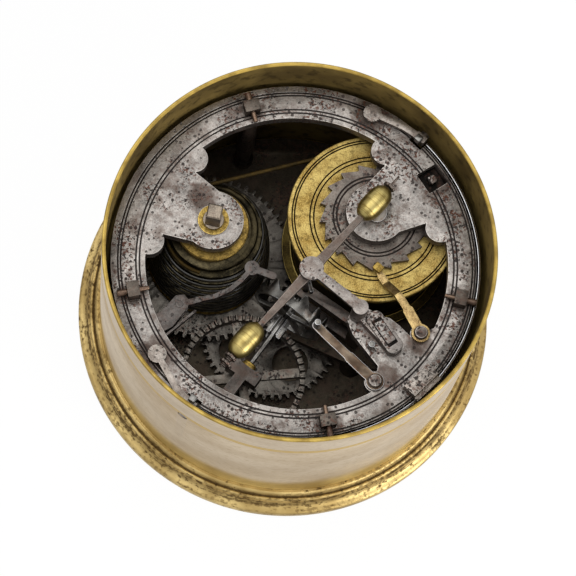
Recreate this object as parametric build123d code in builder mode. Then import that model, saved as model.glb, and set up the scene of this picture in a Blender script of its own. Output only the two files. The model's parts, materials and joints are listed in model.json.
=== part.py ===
from build123d import *
import math
import os

os.makedirs("parts", exist_ok=True)

# Drum clock standing on its dial, movement open at the top. Millimetres, Z up,
# origin at the centre of the foot ring's underside, -Y towards the viewer.

# Case
case_radius = 55.0
case_wall = 1.2
case_top = 70.0
foot_projection = 6.4
foot_height = 8.5
dial_recess = 3.6
dial_thickness = 1.4
dial_ledge = 1.9
seat_clearance = 0.1
case_bore = case_radius - case_wall
foot_radius = case_radius + foot_projection
wall_seat = dial_recess + dial_thickness + 2 * seat_clearance

# Plates
plate_clearance = 1.4
ring_width = 9.7
plate_radius = case_bore - plate_clearance
dial_opening_radius = plate_radius - dial_ledge
ring_inner_radius = plate_radius - ring_width
plate_thickness = 3.5
front_plate_bottom = 9.5
front_plate_thickness = 3.0
front_plate_top = front_plate_bottom + front_plate_thickness
back_plate_top = 57.0
back_plate_bottom = back_plate_top - plate_thickness
leaf_cutback = 1.7
fit = 0.05
running_fit = 0.08
bearing_gap = 0.3

# Pillars
pillar_inset = 5.4
pillar_circle = plate_radius - pillar_inset
pillar_angles = (120.0, 206.0, 294.0, 1.0)
pillar_radius = 3.0
pillar_neck = 1.0
pillar_collar = 3.0
tenon_long = 4.4
tenon_short = 3.4
tenon_height = 3.6
pin_length = 9.0
pin_thick_end = 0.95
pin_thin_end = 0.6

# Axes of the movement in plan
fusee_x, fusee_y = -25.8, 5.7
barrel_x, barrel_y = 18.2, 20.0
verge_x, verge_y = 4.3, -3.6
crown_angle = 68.5
crown_arbor_depth = 9.5
crown_arbor_height = back_plate_bottom - crown_arbor_depth
contrate_distance = 30.5

# Teeth, as shares of the circular pitch and of the module
wheel_tooth = (0.46, 0.42, 0.16)
leaf_tooth = (0.26, 0.30, 0.18)
wheel_addendum = 0.80
wheel_dedendum = 1.15
leaf_addendum = 0.60
leaf_dedendum = 1.20
great_teeth = 62
great_module = 0.8
second_leaves = 8
second_teeth = 54
second_module = 0.75
contrate_leaves = 6
contrate_teeth = 52
contrate_pitch_radius = 17.0
crown_leaves = 6
crown_teeth = 13
hour_teeth = 80
hour_leaves = 18

# Heights of the train
great_rise = 5.7
great_thickness = 2.0
great_bottom = front_plate_top + great_rise
great_top = great_bottom + great_thickness
second_rise = 1.5
second_bottom = front_plate_top + second_rise
second_thickness = 1.5
contrate_rim_height = 3.2
contrate_band = 1.5
hour_wheel_drop = 3.0
hour_wheel_bottom = front_plate_bottom - hour_wheel_drop
hour_wheel_thickness = 1.4

# Barrel and ratchet
barrel_core_radius = 21.4
barrel_flange_reach = 3.4
barrel_flange_radius = barrel_core_radius + barrel_flange_reach
barrel_rise = 2.3
barrel_bottom = great_top + barrel_rise
barrel_flange_thickness = 1.2
barrel_wall = 1.4
cap_thickness = 1.2
barrel_arbor_radius = 3.0
ratchet_teeth = 18
ratchet_radius = 16.0
ratchet_depth = 1.8
ratchet_thickness = 1.8
ratchet_lift = 0.2
barrel_top = back_plate_bottom - bearing_gap - ratchet_thickness - ratchet_lift - cap_thickness

# Fusee and line
fusee_rise = 1.4
fusee_bottom = great_top + fusee_rise
fusee_drop = 1.5
fusee_top = back_plate_bottom - fusee_drop
fusee_foot_radius = 17.8
fusee_narrowing = 5.9
fusee_curve_height = 7.0
fusee_curve_top = fusee_top - 2.0
fusee_groove_depth = 1.2
fusee_top_radius = 11.0
fusee_top_ring = 2.4
fusee_foot_thickness = 0.9
fusee_arbor_radius = 2.9
winding_square = 4.2
winding_square_length = 8.0
winding_square_top = back_plate_top + winding_square_length
line_radius = 0.65
line_pitch = 2.5
line_turns = 9
line_flange_gap = 0.25
line_run_height = barrel_top - barrel_flange_thickness - line_radius - line_flange_gap
line_gap = 0.3
coil_gap = 0.12

# Foliot
foliot_angle = 62.4
foliot_clearance = 2.6
foliot_half_length = 37.0
foliot_bar_width = 2.4
foliot_bar_height = 1.6
weight_distance = 27.1
weight_half_length = 5.6
weight_radius = 3.4
foliot_height = back_plate_top + foliot_clearance + weight_radius
verge_radius = 0.8
pallet_reach = 3.9


def polar(radius, angle):
    """Point in plan at a radius and an angle in degrees about the case axis."""
    return (radius * math.cos(math.radians(angle)), radius * math.sin(math.radians(angle)))


def about(centre, radius, angle):
    """Point in plan at a radius and an angle in degrees about another centre."""
    return (
        centre[0] + radius * math.cos(math.radians(angle)),
        centre[1] + radius * math.sin(math.radians(angle)),
    )


def tooth_outline(teeth, module, shares, addendum, dedendum, centre, tooth_at):
    """Closed outline of a wheel or pinion with one tooth at the angle tooth_at."""
    pitch_radius = module * teeth / 2
    radii = (pitch_radius - dedendum * module, pitch_radius, pitch_radius + addendum * module)
    half_widths = [share * math.pi * module / 2 for share in shares]
    points = []
    for index in range(teeth):
        middle = tooth_at + 360.0 * index / teeth
        for radius, half in zip(radii, half_widths):
            points.append(about(centre, radius, middle - math.degrees(half / radius)))
        for radius, half in zip(reversed(radii), reversed(half_widths)):
            points.append(about(centre, radius, middle + math.degrees(half / radius)))
    return points


def angle_between(start, end):
    """Angle in degrees of the line from one point in plan to another."""
    return math.degrees(math.atan2(end[1] - start[1], end[0] - start[0]))


def arc_strip(centre, inner, outer, start, end):
    """Curved strip in plan between two radii and two angles about a centre."""
    middle = (start + end) / 2
    with BuildSketch() as strip:
        with BuildLine():
            ThreePointArc(
                about(centre, inner, start), about(centre, inner, middle), about(centre, inner, end)
            )
            Line(about(centre, inner, end), about(centre, outer, end))
            ThreePointArc(
                about(centre, outer, end), about(centre, outer, middle), about(centre, outer, start)
            )
            Line(about(centre, outer, start), about(centre, inner, start))
        make_face()
    return strip.sketch


def strip_between(start, end, width):
    """Straight strip with round ends between two points in plan."""
    with Locations(((start[0] + end[0]) / 2, (start[1] + end[1]) / 2)):
        Rectangle(math.dist(start, end), width, rotation=angle_between(start, end))
    with Locations(start, end):
        Circle(width / 2)


fusee_axis = (fusee_x, fusee_y)
barrel_axis = (barrel_x, barrel_y)
verge_axis = (verge_x, verge_y)

# The contrate arbor stands on the crown arbor's line, and the second arbor
# stands where both of its meshes have their centre distances.
contrate_axis = about(verge_axis, contrate_distance, crown_angle + 180)
great_pitch_radius = great_module * great_teeth / 2
second_pinion_radius = great_module * second_leaves / 2
second_pitch_radius = second_module * second_teeth / 2
contrate_pinion_radius = second_module * contrate_leaves / 2
great_mesh = great_pitch_radius + second_pinion_radius
second_mesh = second_pitch_radius + contrate_pinion_radius
fusee_to_contrate = math.dist(fusee_axis, contrate_axis)
along = (great_mesh ** 2 - second_mesh ** 2 + fusee_to_contrate ** 2) / (2 * fusee_to_contrate)
aside = math.degrees(math.acos(along / great_mesh))
second_axis = about(fusee_axis, great_mesh, angle_between(fusee_axis, contrate_axis) + aside)
hour_mesh = math.dist((0, 0), fusee_axis)
hour_module = 2 * hour_mesh / (hour_teeth + hour_leaves)

# Case: foot ring, drum wall, seat of the movement
with BuildPart() as case_foot_ring:
    with BuildSketch(Plane.XZ) as foot_section:
        with BuildLine():
            Polyline(
                (dial_opening_radius, 0.6),
                (dial_opening_radius + 0.6, 0),
                (foot_radius - 0.8, 0),
                (foot_radius, 1.2),
                (foot_radius, foot_height - 5.5),
            )
            ThreePointArc(
                (foot_radius, foot_height - 5.5),
                (foot_radius - 0.3, foot_height - 4.8),
                (foot_radius - 1.0, foot_height - 4.4),
            )
            ThreePointArc(
                (foot_radius - 1.0, foot_height - 4.4),
                (case_radius + 4.1, foot_height - 3.6),
                (case_radius + 3.5, foot_height - 2.1),
            )
            Line((case_radius + 3.5, foot_height - 2.1), (case_radius + 3.2, foot_height - 2.1))
            ThreePointArc(
                (case_radius + 3.2, foot_height - 2.1),
                (case_radius + 2.7, foot_height - 1.4),
                (case_radius + 2.0, foot_height - 1.6),
            )
            Line((case_radius + 2.0, foot_height - 1.6), (case_radius + 1.6, foot_height - 1.2))
            ThreePointArc(
                (case_radius + 1.6, foot_height - 1.2),
                (case_radius + 1.2, foot_height - 0.2),
                (case_radius + 0.6, foot_height),
            )
            Polyline(
                (case_radius + 0.6, foot_height),
                (case_radius + fit, foot_height),
                (case_radius + fit, wall_seat),
                (plate_radius + bearing_gap, wall_seat),
                (plate_radius + bearing_gap, dial_recess),
                (dial_opening_radius, dial_recess),
                (dial_opening_radius, 0.6),
            )
        make_face()
    revolve(axis=Axis.Z)
case_foot_ring.part.label = "case_foot_ring"
export_step(case_foot_ring.part, "parts/case_foot_ring.step")

latch_angles = (60.5, 248.5)
latch_height = back_plate_top - 1.3
latch_bolt_radius = 1.3
rim_round = 0.5
with BuildPart() as case_drum:
    with BuildSketch(Plane.XY.offset(wall_seat)):
        Circle(case_radius)
        Circle(case_bore, mode=Mode.SUBTRACT)
    extrude(amount=case_top - wall_seat)
    fillet(case_drum.edges().group_by(Axis.Z)[-1], radius=rim_round)
    for angle in latch_angles:
        with Locations(Plane(polar(case_radius, angle) + (latch_height,), z_dir=polar(1, angle) + (0,))):
            Cylinder(latch_bolt_radius + bearing_gap, 6 * case_wall, mode=Mode.SUBTRACT)
case_drum.part.label = "case_drum"
export_step(case_drum.part, "parts/case_drum.step")

with BuildPart() as case_seat_ring:
    with BuildSketch(Plane.XY.offset(wall_seat)):
        Circle(case_bore - seat_clearance)
        Circle(plate_radius - 1.8, mode=Mode.SUBTRACT)
    extrude(amount=front_plate_bottom - wall_seat)
case_seat_ring.part.label = "case_seat_ring"
export_step(case_seat_ring.part, "parts/case_seat_ring.step")

# Dial side: dial plate, chapter ring, touch pins, hand, hour wheel on its stud
chapter_inset = 3.5
chapter_width = 13.0
chapter_outer = dial_opening_radius - chapter_inset
chapter_inner = chapter_outer - chapter_width
chapter_thickness = 0.5
touch_pin_radius = 0.7
touch_pin_height = 1.1
hour_stud_radius = 1.1
hour_pipe_radius = 1.9
hand_top = 2.6
hand_thickness = 0.8
with BuildPart() as dial_plate:
    with BuildSketch(Plane.XY.offset(dial_recess)):
        Circle(plate_radius)
        Circle(hour_pipe_radius + bearing_gap, mode=Mode.SUBTRACT)
    extrude(amount=dial_thickness)
dial_plate.part.label = "dial_plate"
export_step(dial_plate.part, "parts/dial_plate.step")

with BuildPart() as chapter_ring:
    with BuildSketch(Plane.XY.offset(dial_recess)):
        Circle(chapter_outer)
        Circle(chapter_inner, mode=Mode.SUBTRACT)
    extrude(amount=-chapter_thickness)
chapter_ring.part.label = "chapter_ring"
export_step(chapter_ring.part, "parts/chapter_ring.step")

with BuildPart() as touch_pins:
    with BuildSketch(Plane.XY.offset(dial_recess - chapter_thickness)):
        with PolarLocations((chapter_outer + chapter_inner) / 2, 12):
            Circle(touch_pin_radius)
    extrude(amount=-touch_pin_height)
touch_pins.part.label = "touch_pins"
export_step(touch_pins.part, "parts/touch_pins.step")

hand_angle = 40.0
hand_head_at = chapter_inner - 8.0
hand_bar_width = 1.6
with BuildPart() as hour_hand:
    with BuildSketch(Plane.XY.offset(hand_top)):
        Circle(4.0)
        with Locations(polar(hand_head_at / 2, hand_angle)):
            Rectangle(hand_head_at - 2.0, hand_bar_width, rotation=hand_angle)
        with Locations(polar(hand_head_at, hand_angle)):
            RegularPolygon(3.2, 3, rotation=hand_angle)
        with Locations(polar(-7.0, hand_angle)):
            Circle(1.8)
        with Locations(polar(-4.5, hand_angle)):
            Rectangle(4.0, hand_bar_width, rotation=hand_angle)
        Circle(hour_pipe_radius, mode=Mode.SUBTRACT)
    extrude(amount=-hand_thickness)
hour_hand.part.label = "hour_hand"
export_step(hour_hand.part, "parts/hour_hand.step")

with BuildPart() as hour_stud:
    with BuildSketch(Plane.XY.offset(hand_top - hand_thickness)):
        Circle(hour_stud_radius)
    extrude(amount=front_plate_bottom + 1.5 - hand_top + hand_thickness)
hour_stud.part.label = "hour_stud"
export_step(hour_stud.part, "parts/hour_stud.step")

hour_from_fusee = angle_between((0, 0), fusee_axis)
with BuildPart() as hour_wheel:
    with BuildSketch(Plane.XY.offset(hour_wheel_bottom)):
        with BuildLine():
            Polyline(
                tooth_outline(
                    hour_teeth, hour_module, wheel_tooth, wheel_addendum, wheel_dedendum,
                    (0, 0), hour_from_fusee,
                ),
                close=True,
            )
        make_face()
        Circle(hour_stud_radius + running_fit, mode=Mode.SUBTRACT)
    extrude(amount=hour_wheel_thickness)
    with BuildSketch(Plane.XY.offset(hand_top - hand_thickness)):
        Circle(hour_pipe_radius - fit)
        Circle(hour_stud_radius + running_fit, mode=Mode.SUBTRACT)
    extrude(amount=front_plate_bottom - bearing_gap - hand_top + hand_thickness)
hour_wheel.part.label = "hour_wheel"
export_step(hour_wheel.part, "parts/hour_wheel.step")

great_pipe_radius = 2.7
pipe_bore_radius = 1.7
with BuildPart() as hour_pinion:
    with BuildSketch(Plane.XY.offset(hour_wheel_bottom - 0.4)):
        with BuildLine():
            Polyline(
                tooth_outline(
                    hour_leaves, hour_module, leaf_tooth, leaf_addendum, leaf_dedendum,
                    fusee_axis, hour_from_fusee + 180 + 180 / hour_leaves,
                ),
                close=True,
            )
        make_face()
        with Locations(fusee_axis):
            Circle(great_pipe_radius + fit, mode=Mode.SUBTRACT)
    extrude(amount=hour_wheel_thickness + 1.0)
hour_pinion.part.label = "hour_pinion"
export_step(hour_pinion.part, "parts/hour_pinion.step")

# Plates
second_pivot_radius = 0.6
contrate_pivot_radius = 0.45
with BuildPart() as front_plate:
    with BuildSketch(Plane.XY.offset(front_plate_bottom)):
        Circle(plate_radius)
        with Locations(fusee_axis):
            Circle(great_pipe_radius + running_fit, mode=Mode.SUBTRACT)
        with Locations(barrel_axis):
            Circle(barrel_arbor_radius - 1 + running_fit, mode=Mode.SUBTRACT)
        with Locations(second_axis):
            Circle(second_pivot_radius + running_fit, mode=Mode.SUBTRACT)
        with Locations(contrate_axis):
            Circle(contrate_pivot_radius + running_fit, mode=Mode.SUBTRACT)
        Circle(hour_stud_radius + fit, mode=Mode.SUBTRACT)
        with Locations(*[polar(pillar_circle, angle) for angle in pillar_angles]):
            Circle(pillar_radius - pillar_neck + fit, mode=Mode.SUBTRACT)
    extrude(amount=front_plate_thickness)
front_plate.part.label = "front_plate"
export_step(front_plate.part, "parts/front_plate.step")

lobe_notch_radius = ring_inner_radius - 4.1
lobe_notch_spread = 15.5
ear_spread = 24.5
lobe_tip_radius = 8.6
bush_radius = 4.4
click_rivet = polar(ring_inner_radius - 2.6, -16.8)
regulator_rivet_at = polar(ring_inner_radius - 2.0, -44.3)
rivet_lug_radius = 2.9
rivet_radius = 1.5
square_hole = polar(plate_radius - 6.1, 47.3)
square_hole_size = 6.5
steady_pin_at = (25.8, -18.8)
steady_pin_radius = 0.9
leaf_arcs = ((-30.9, 58.0), (-108.5, -31.9))


def plate_lobe(axis, tip_radius):
    """Tongue of the plate from the ring to a round tip about an axis."""
    angle = angle_between((0, 0), axis)
    inside = ring_inner_radius + 3
    right = polar(lobe_notch_radius, angle - lobe_notch_spread)
    left = polar(lobe_notch_radius, angle + lobe_notch_spread)
    ear_right = polar(ring_inner_radius - 4.8, angle - lobe_notch_spread - 2)
    ear_left = polar(ring_inner_radius - 4.8, angle + lobe_notch_spread + 2)
    root_right = polar(ring_inner_radius + 0.3, angle - ear_spread)
    root_left = polar(ring_inner_radius + 0.3, angle + ear_spread)
    tip_right = about(axis, tip_radius, angle - 75)
    tip_left = about(axis, tip_radius, angle + 75)
    with BuildSketch() as lobe:
        with BuildLine():
            Polyline(tip_right, right, ear_right)
            ThreePointArc(
                ear_right, polar(ring_inner_radius - 3.6, angle - ear_spread + 1.2), root_right
            )
            Polyline(
                root_right,
                polar(inside, angle - ear_spread),
                polar(inside + 1, angle),
                polar(inside, angle + ear_spread),
                root_left,
            )
            ThreePointArc(
                root_left, polar(ring_inner_radius - 3.6, angle + ear_spread - 1.2), ear_left
            )
            Polyline(ear_left, left, tip_left)
            ThreePointArc(tip_left, about(axis, tip_radius, angle + 180), tip_right)
        make_face()
    return lobe.sketch


leaf_cuts = [
    arc_strip((0, 0), plate_radius - leaf_cutback, plate_radius + 2, start - 2, end + 2)
    for start, end in leaf_arcs
]
fusee_lobe = plate_lobe(fusee_axis, lobe_tip_radius)
barrel_lobe = plate_lobe(barrel_axis, lobe_tip_radius)
with BuildPart() as back_plate:
    with BuildSketch(Plane.XY.offset(back_plate_bottom)):
        Circle(plate_radius)
        Circle(ring_inner_radius, mode=Mode.SUBTRACT)
        add(fusee_lobe)
        add(barrel_lobe)
        with BuildLine():
            Polyline(
                (27.2, -25.9), (29.1, -25.1), (29.0, -23.7), (24.4, -20.1), (20.2, -16.8),
                (17.9, -13.6),
            )
            ThreePointArc((17.9, -13.6), (17.9, -11.2), (19.5, -9.6))
            Polyline(
                (19.5, -9.6),
                (29.1, -9.3),
                (32.3, -10.8),
                (36.4, -13.3),
                polar(ring_inner_radius, -12.0),
                polar(ring_inner_radius + 4.8, -11.6),
                polar(ring_inner_radius + 6.5, -26.6),
                polar(ring_inner_radius + 5.5, -41.6),
                polar(ring_inner_radius + 2.2, -47.3),
                (27.2, -25.9),
            )
        make_face()
        with Locations(click_rivet, regulator_rivet_at):
            Circle(rivet_lug_radius)
        with Locations(fusee_axis):
            Circle(bush_radius, mode=Mode.SUBTRACT)
        with Locations(barrel_axis):
            Circle(barrel_arbor_radius + running_fit, mode=Mode.SUBTRACT)
        for angle in pillar_angles:
            with Locations(polar(pillar_circle, angle)):
                Rectangle(tenon_short + 2 * fit, tenon_long + 2 * fit, rotation=angle, mode=Mode.SUBTRACT)
        with Locations(square_hole):
            Rectangle(square_hole_size, square_hole_size, rotation=47, mode=Mode.SUBTRACT)
        with Locations(steady_pin_at):
            Circle(steady_pin_radius + fit, mode=Mode.SUBTRACT)
        with Locations(click_rivet, regulator_rivet_at):
            Circle(rivet_radius + fit, mode=Mode.SUBTRACT)
        add(leaf_cuts, mode=Mode.SUBTRACT)
        for angle in latch_angles:
            with Locations(polar(plate_radius, angle)):
                Rectangle(7.0, 4.6, rotation=angle, mode=Mode.SUBTRACT)
    extrude(amount=plate_thickness)
back_plate.part.label = "back_plate"
export_step(back_plate.part, "parts/back_plate.step")

# Pillars: turned, riveted below, with a pinned square tenon above
pillar_length = back_plate_bottom - front_plate_top
pillar_waist = pillar_radius - pillar_neck
lower_collar_top = front_plate_thickness + pillar_collar
upper_collar_bottom = front_plate_thickness + pillar_length - pillar_collar
tenon_top = back_plate_top + tenon_height
pin_height = back_plate_top + pin_thick_end + 0.35
with BuildPart() as frame_pillars:
    for angle in pillar_angles:
        spot = polar(pillar_circle, angle)
        with BuildSketch(Plane(spot + (front_plate_bottom,), x_dir=(1, 0, 0), z_dir=(0, -1, 0))):
            with BuildLine():
                Polyline(
                    (0, 0),
                    (pillar_waist, 0),
                    (pillar_waist, front_plate_thickness),
                    (pillar_radius, front_plate_thickness),
                    (pillar_radius, lower_collar_top),
                    (pillar_waist, lower_collar_top + pillar_neck),
                )
                ThreePointArc(
                    (pillar_waist, lower_collar_top + pillar_neck),
                    (pillar_radius - 0.3 * pillar_neck, front_plate_thickness + pillar_length / 2),
                    (pillar_waist, upper_collar_bottom - pillar_neck),
                )
                Polyline(
                    (pillar_waist, upper_collar_bottom - pillar_neck),
                    (pillar_radius, upper_collar_bottom),
                    (pillar_radius, front_plate_thickness + pillar_length),
                    (0, front_plate_thickness + pillar_length),
                    (0, 0),
                )
            make_face()
        revolve(axis=Axis(spot + (0,), (0, 0, 1)))
        with BuildSketch(Plane.XY.offset(back_plate_bottom)):
            with Locations(spot):
                Rectangle(tenon_short, tenon_long, rotation=angle)
        extrude(amount=tenon_top - back_plate_bottom)
        with Locations(Plane(spot + (pin_height,), z_dir=polar(1, angle) + (0,))):
            Cylinder(pin_thick_end + fit, tenon_short + 2, mode=Mode.SUBTRACT)
frame_pillars.part.label = "frame_pillars"
export_step(frame_pillars.part, "parts/frame_pillars.step")

with BuildPart() as pillar_pins:
    for angle in pillar_angles:
        with Locations(Plane(polar(pillar_circle, angle) + (pin_height,), z_dir=polar(1, angle) + (0,))):
            Cone(pin_thin_end, pin_thick_end, pin_length)
pillar_pins.part.label = "pillar_pins"
export_step(pillar_pins.part, "parts/pillar_pins.step")

# Barrel, mainspring, arbor, set-up ratchet and its click
barrel_bore = barrel_core_radius - barrel_wall
with BuildPart() as barrel_drum:
    with BuildSketch(Plane(barrel_axis + (0,), x_dir=(1, 0, 0), z_dir=(0, -1, 0))):
        with BuildLine():
            Polyline(
                (barrel_arbor_radius + running_fit, barrel_bottom),
                (barrel_flange_radius - 0.3, barrel_bottom),
                (barrel_flange_radius - 0.3, barrel_bottom + barrel_flange_thickness),
                (barrel_core_radius + 0.6, barrel_bottom + barrel_flange_thickness + 0.4),
                (barrel_core_radius, barrel_bottom + barrel_flange_thickness + 1.2),
                (barrel_core_radius, barrel_top - barrel_flange_thickness),
                (barrel_flange_radius, barrel_top - barrel_flange_thickness),
                (barrel_flange_radius, barrel_top),
                (barrel_bore, barrel_top),
                (barrel_bore, barrel_bottom + barrel_wall),
                (barrel_arbor_radius + running_fit, barrel_bottom + barrel_wall),
                close=True,
            )
        make_face()
    revolve(axis=Axis(barrel_axis + (0,), (0, 0, 1)))
barrel_drum.part.label = "barrel_drum"
export_step(barrel_drum.part, "parts/barrel_drum.step")

cap_top = barrel_top + cap_thickness
with BuildPart() as barrel_cap:
    with BuildSketch(Plane.XY.offset(barrel_top)):
        with Locations(barrel_axis):
            Circle(barrel_flange_radius)
            Circle(barrel_arbor_radius + running_fit, mode=Mode.SUBTRACT)
    extrude(amount=cap_thickness)
    fillet(barrel_cap.edges().group_by(Axis.Z)[-1].sort_by(SortBy.RADIUS)[-1], radius=0.4)
barrel_cap.part.label = "barrel_cap"
export_step(barrel_cap.part, "parts/barrel_cap.step")

spring_coils = 7
spring_thickness = 0.5
with BuildPart() as mainspring:
    with BuildSketch(Plane.XY.offset(barrel_bottom + barrel_wall + bearing_gap)):
        with Locations(barrel_axis):
            for index in range(spring_coils):
                coil_radius = barrel_bore - 0.1 - index * 1.6
                Circle(coil_radius)
                Circle(coil_radius - spring_thickness, mode=Mode.SUBTRACT)
    extrude(amount=barrel_top - barrel_bottom - barrel_wall - 2 * bearing_gap)
    with BuildSketch(Plane.XY.offset(barrel_bottom + barrel_wall + bearing_gap)):
        with Locations(about(barrel_axis, barrel_bore - 0.1 - spring_coils * 0.8, 0)):
            Rectangle(spring_coils * 1.6 - 0.6, spring_thickness)
    extrude(amount=barrel_top - barrel_bottom - barrel_wall - 2 * bearing_gap)
mainspring.part.label = "mainspring"
export_step(mainspring.part, "parts/mainspring.step")

hook_radius = 5.5
with BuildPart() as barrel_arbor:
    with BuildSketch(Plane.XY.offset(front_plate_bottom + bearing_gap)):
        with Locations(barrel_axis):
            Circle(barrel_arbor_radius - 1)
    extrude(amount=front_plate_thickness)
    with BuildSketch(Plane.XY.offset(front_plate_top + bearing_gap)):
        with Locations(barrel_axis):
            Circle(barrel_arbor_radius)
    extrude(amount=back_plate_top + 0.4 - front_plate_top - bearing_gap)
    with BuildSketch(Plane.XY.offset(barrel_bottom + barrel_wall + bearing_gap)):
        with Locations(barrel_axis):
            Circle(hook_radius)
    extrude(amount=barrel_top - barrel_bottom - barrel_wall - 2 * bearing_gap)
barrel_arbor.part.label = "barrel_arbor"
export_step(barrel_arbor.part, "parts/barrel_arbor.step")

ratchet_bottom = cap_top + ratchet_lift
click_tip_angle = -76.5
ratchet_step = 360.0 / ratchet_teeth
with BuildPart() as setup_ratchet:
    with BuildSketch(Plane.XY.offset(ratchet_bottom)):
        ratchet_points = []
        for index in range(ratchet_teeth):
            drop = click_tip_angle - 2.5 + index * ratchet_step
            ratchet_points.append(about(barrel_axis, ratchet_radius, drop))
            ratchet_points.append(about(barrel_axis, ratchet_radius - ratchet_depth, drop + 1.0))
        with BuildLine():
            Polyline(ratchet_points, close=True)
        make_face()
        with Locations(barrel_axis):
            Circle(barrel_arbor_radius + fit, mode=Mode.SUBTRACT)
    extrude(amount=ratchet_thickness)
setup_ratchet.part.label = "setup_ratchet"
export_step(setup_ratchet.part, "parts/setup_ratchet.step")

click_tip = about(barrel_axis, ratchet_radius - ratchet_depth + 0.35, click_tip_angle)
click_bend = (33.6, -6.2)
click_strip_width = 2.2
click_strip_thickness = 1.1
click_run = math.dist(click_bend, click_tip)
click_direction = angle_between(click_bend, click_tip)
click_low = ratchet_bottom + 0.35
click_high = back_plate_top + fit
with BuildPart() as setup_click:
    with BuildSketch(Plane.XY.offset(click_high)):
        with Locations(click_rivet):
            Circle(rivet_lug_radius - 0.3)
        middle = ((click_rivet[0] + click_bend[0]) / 2, (click_rivet[1] + click_bend[1]) / 2)
        with Locations(middle):
            Rectangle(
                math.dist(click_rivet, click_bend) + 1, click_strip_width + 0.8,
                rotation=angle_between(click_rivet, click_bend),
            )
        with Locations(click_bend):
            Circle((click_strip_width + 0.8) / 2)
        with Locations(click_rivet):
            Circle(rivet_radius + running_fit, mode=Mode.SUBTRACT)
    extrude(amount=click_strip_thickness)
    with BuildSketch(
        Plane(
            click_bend + (0,),
            x_dir=polar(1, click_direction) + (0,),
            z_dir=polar(1, click_direction - 90) + (0,),
        )
    ):
        with BuildLine():
            Polyline(
                (-0.6, click_high + click_strip_thickness),
                (-0.6, click_high),
                (click_run * 0.30, click_high),
                (click_run * 0.62, click_low),
                (click_run, click_low),
                (click_run, click_low + click_strip_thickness),
                (click_run * 0.66, click_low + click_strip_thickness),
                (click_run * 0.34, click_high + click_strip_thickness),
                close=True,
            )
        make_face()
    extrude(amount=click_strip_width / 2, both=True)
    with BuildSketch(Plane.XY.offset(click_low - 1)):
        with Locations(click_rivet):
            Circle(rivet_lug_radius)
        strip_between(click_rivet, click_bend, click_strip_width + 1)
        with BuildLine():
            Polyline(
                about(click_bend, click_strip_width, click_direction + 90),
                about(click_tip, -3.4, click_direction - 18),
                click_tip,
                about(click_tip, -3.4, click_direction + 18),
                about(click_bend, click_strip_width, click_direction - 90),
                close=True,
            )
        make_face()
    extrude(amount=click_high - click_low + 3, mode=Mode.INTERSECT)
setup_click.part.label = "setup_click"
export_step(setup_click.part, "parts/setup_click.step")

rivet_head_radius = 2.1
rivet_head_height = 0.9
with BuildPart() as click_rivet_pin:
    with BuildSketch(Plane.XY.offset(back_plate_bottom)):
        with Locations(click_rivet):
            Circle(rivet_radius)
    extrude(amount=plate_thickness + click_strip_thickness + 0.25)
    with BuildSketch(Plane.XY.offset(click_high + click_strip_thickness + 0.15)):
        with Locations(click_rivet):
            Circle(rivet_head_radius)
    extrude(amount=rivet_head_height, taper=25)
click_rivet_pin.part.label = "click_rivet"
export_step(click_rivet_pin.part, "parts/click_rivet.step")


# Fusee: curved cone, arbor with winding square, winding ratchet
def ridge_radius(height):
    """Outer radius of the fusee at a height, wide at its foot."""
    rise = (fusee_curve_top - height) / fusee_curve_height
    return fusee_foot_radius - fusee_narrowing * math.exp(-rise)


def root_radius(height):
    """Radius of the bottom of the groove at a height."""
    return ridge_radius(height) - fusee_groove_depth


def line_orbit(height, gap):
    """Radius at which the line's centre runs, a gap above the groove."""
    slope = (root_radius(height - 0.5) - root_radius(height + 0.5))
    return root_radius(height) + (line_radius + gap) * math.hypot(1, slope)


fusee_shoulder = fusee_top - fusee_top_ring
fusee_foot_top = fusee_bottom + fusee_foot_thickness
with BuildPart() as fusee_cone:
    with BuildSketch(Plane(fusee_axis + (0,), x_dir=(1, 0, 0), z_dir=(0, -1, 0))):
        with BuildLine():
            cone_heights = [
                fusee_shoulder + (fusee_foot_top - fusee_shoulder) * step / 6 for step in range(7)
            ]
            Spline([(root_radius(height), height) for height in cone_heights])
            Polyline(
                (root_radius(fusee_foot_top), fusee_foot_top),
                (fusee_foot_radius, fusee_foot_top),
                (fusee_foot_radius, fusee_bottom),
                (fusee_arbor_radius + fit, fusee_bottom),
                (fusee_arbor_radius + fit, fusee_top),
                (fusee_top_radius - 0.3, fusee_top),
                (fusee_top_radius, fusee_top - 0.3),
                (root_radius(fusee_shoulder) - 0.1, fusee_shoulder + 0.3),
                (root_radius(fusee_shoulder), fusee_shoulder),
            )
        make_face()
    revolve(axis=Axis(fusee_axis + (0,), (0, 0, 1)))
fusee_cone.part.label = "fusee_cone"
export_step(fusee_cone.part, "parts/fusee_cone.step")

with BuildPart() as fusee_arbor:
    with BuildSketch(Plane.XY.offset(hour_wheel_bottom - 0.4)):
        with Locations(fusee_axis):
            Circle(pipe_bore_radius - running_fit)
    extrude(amount=great_top - hour_wheel_bottom + 0.8)
    with BuildSketch(Plane.XY.offset(great_top + bearing_gap)):
        with Locations(fusee_axis):
            Circle(fusee_arbor_radius)
    extrude(amount=back_plate_top + 0.6 - great_top - bearing_gap)
    with BuildSketch(Plane.XY.offset(back_plate_top + 0.6)):
        with Locations(fusee_axis):
            Rectangle(winding_square, winding_square, rotation=foliot_angle)
    extrude(amount=winding_square_top - back_plate_top - 0.6)
    chamfer(fusee_arbor.edges().group_by(Axis.Z)[-1], length=0.4)
fusee_arbor.part.label = "fusee_arbor"
export_step(fusee_arbor.part, "parts/fusee_arbor.step")

with BuildPart() as fusee_bush:
    with BuildSketch(Plane.XY.offset(back_plate_bottom)):
        with Locations(fusee_axis):
            Circle(bush_radius - 0.02)
            Circle(fusee_arbor_radius + running_fit, mode=Mode.SUBTRACT)
    extrude(amount=plate_thickness + 0.2)
fusee_bush.part.label = "fusee_bush"
export_step(fusee_bush.part, "parts/fusee_bush.step")

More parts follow.
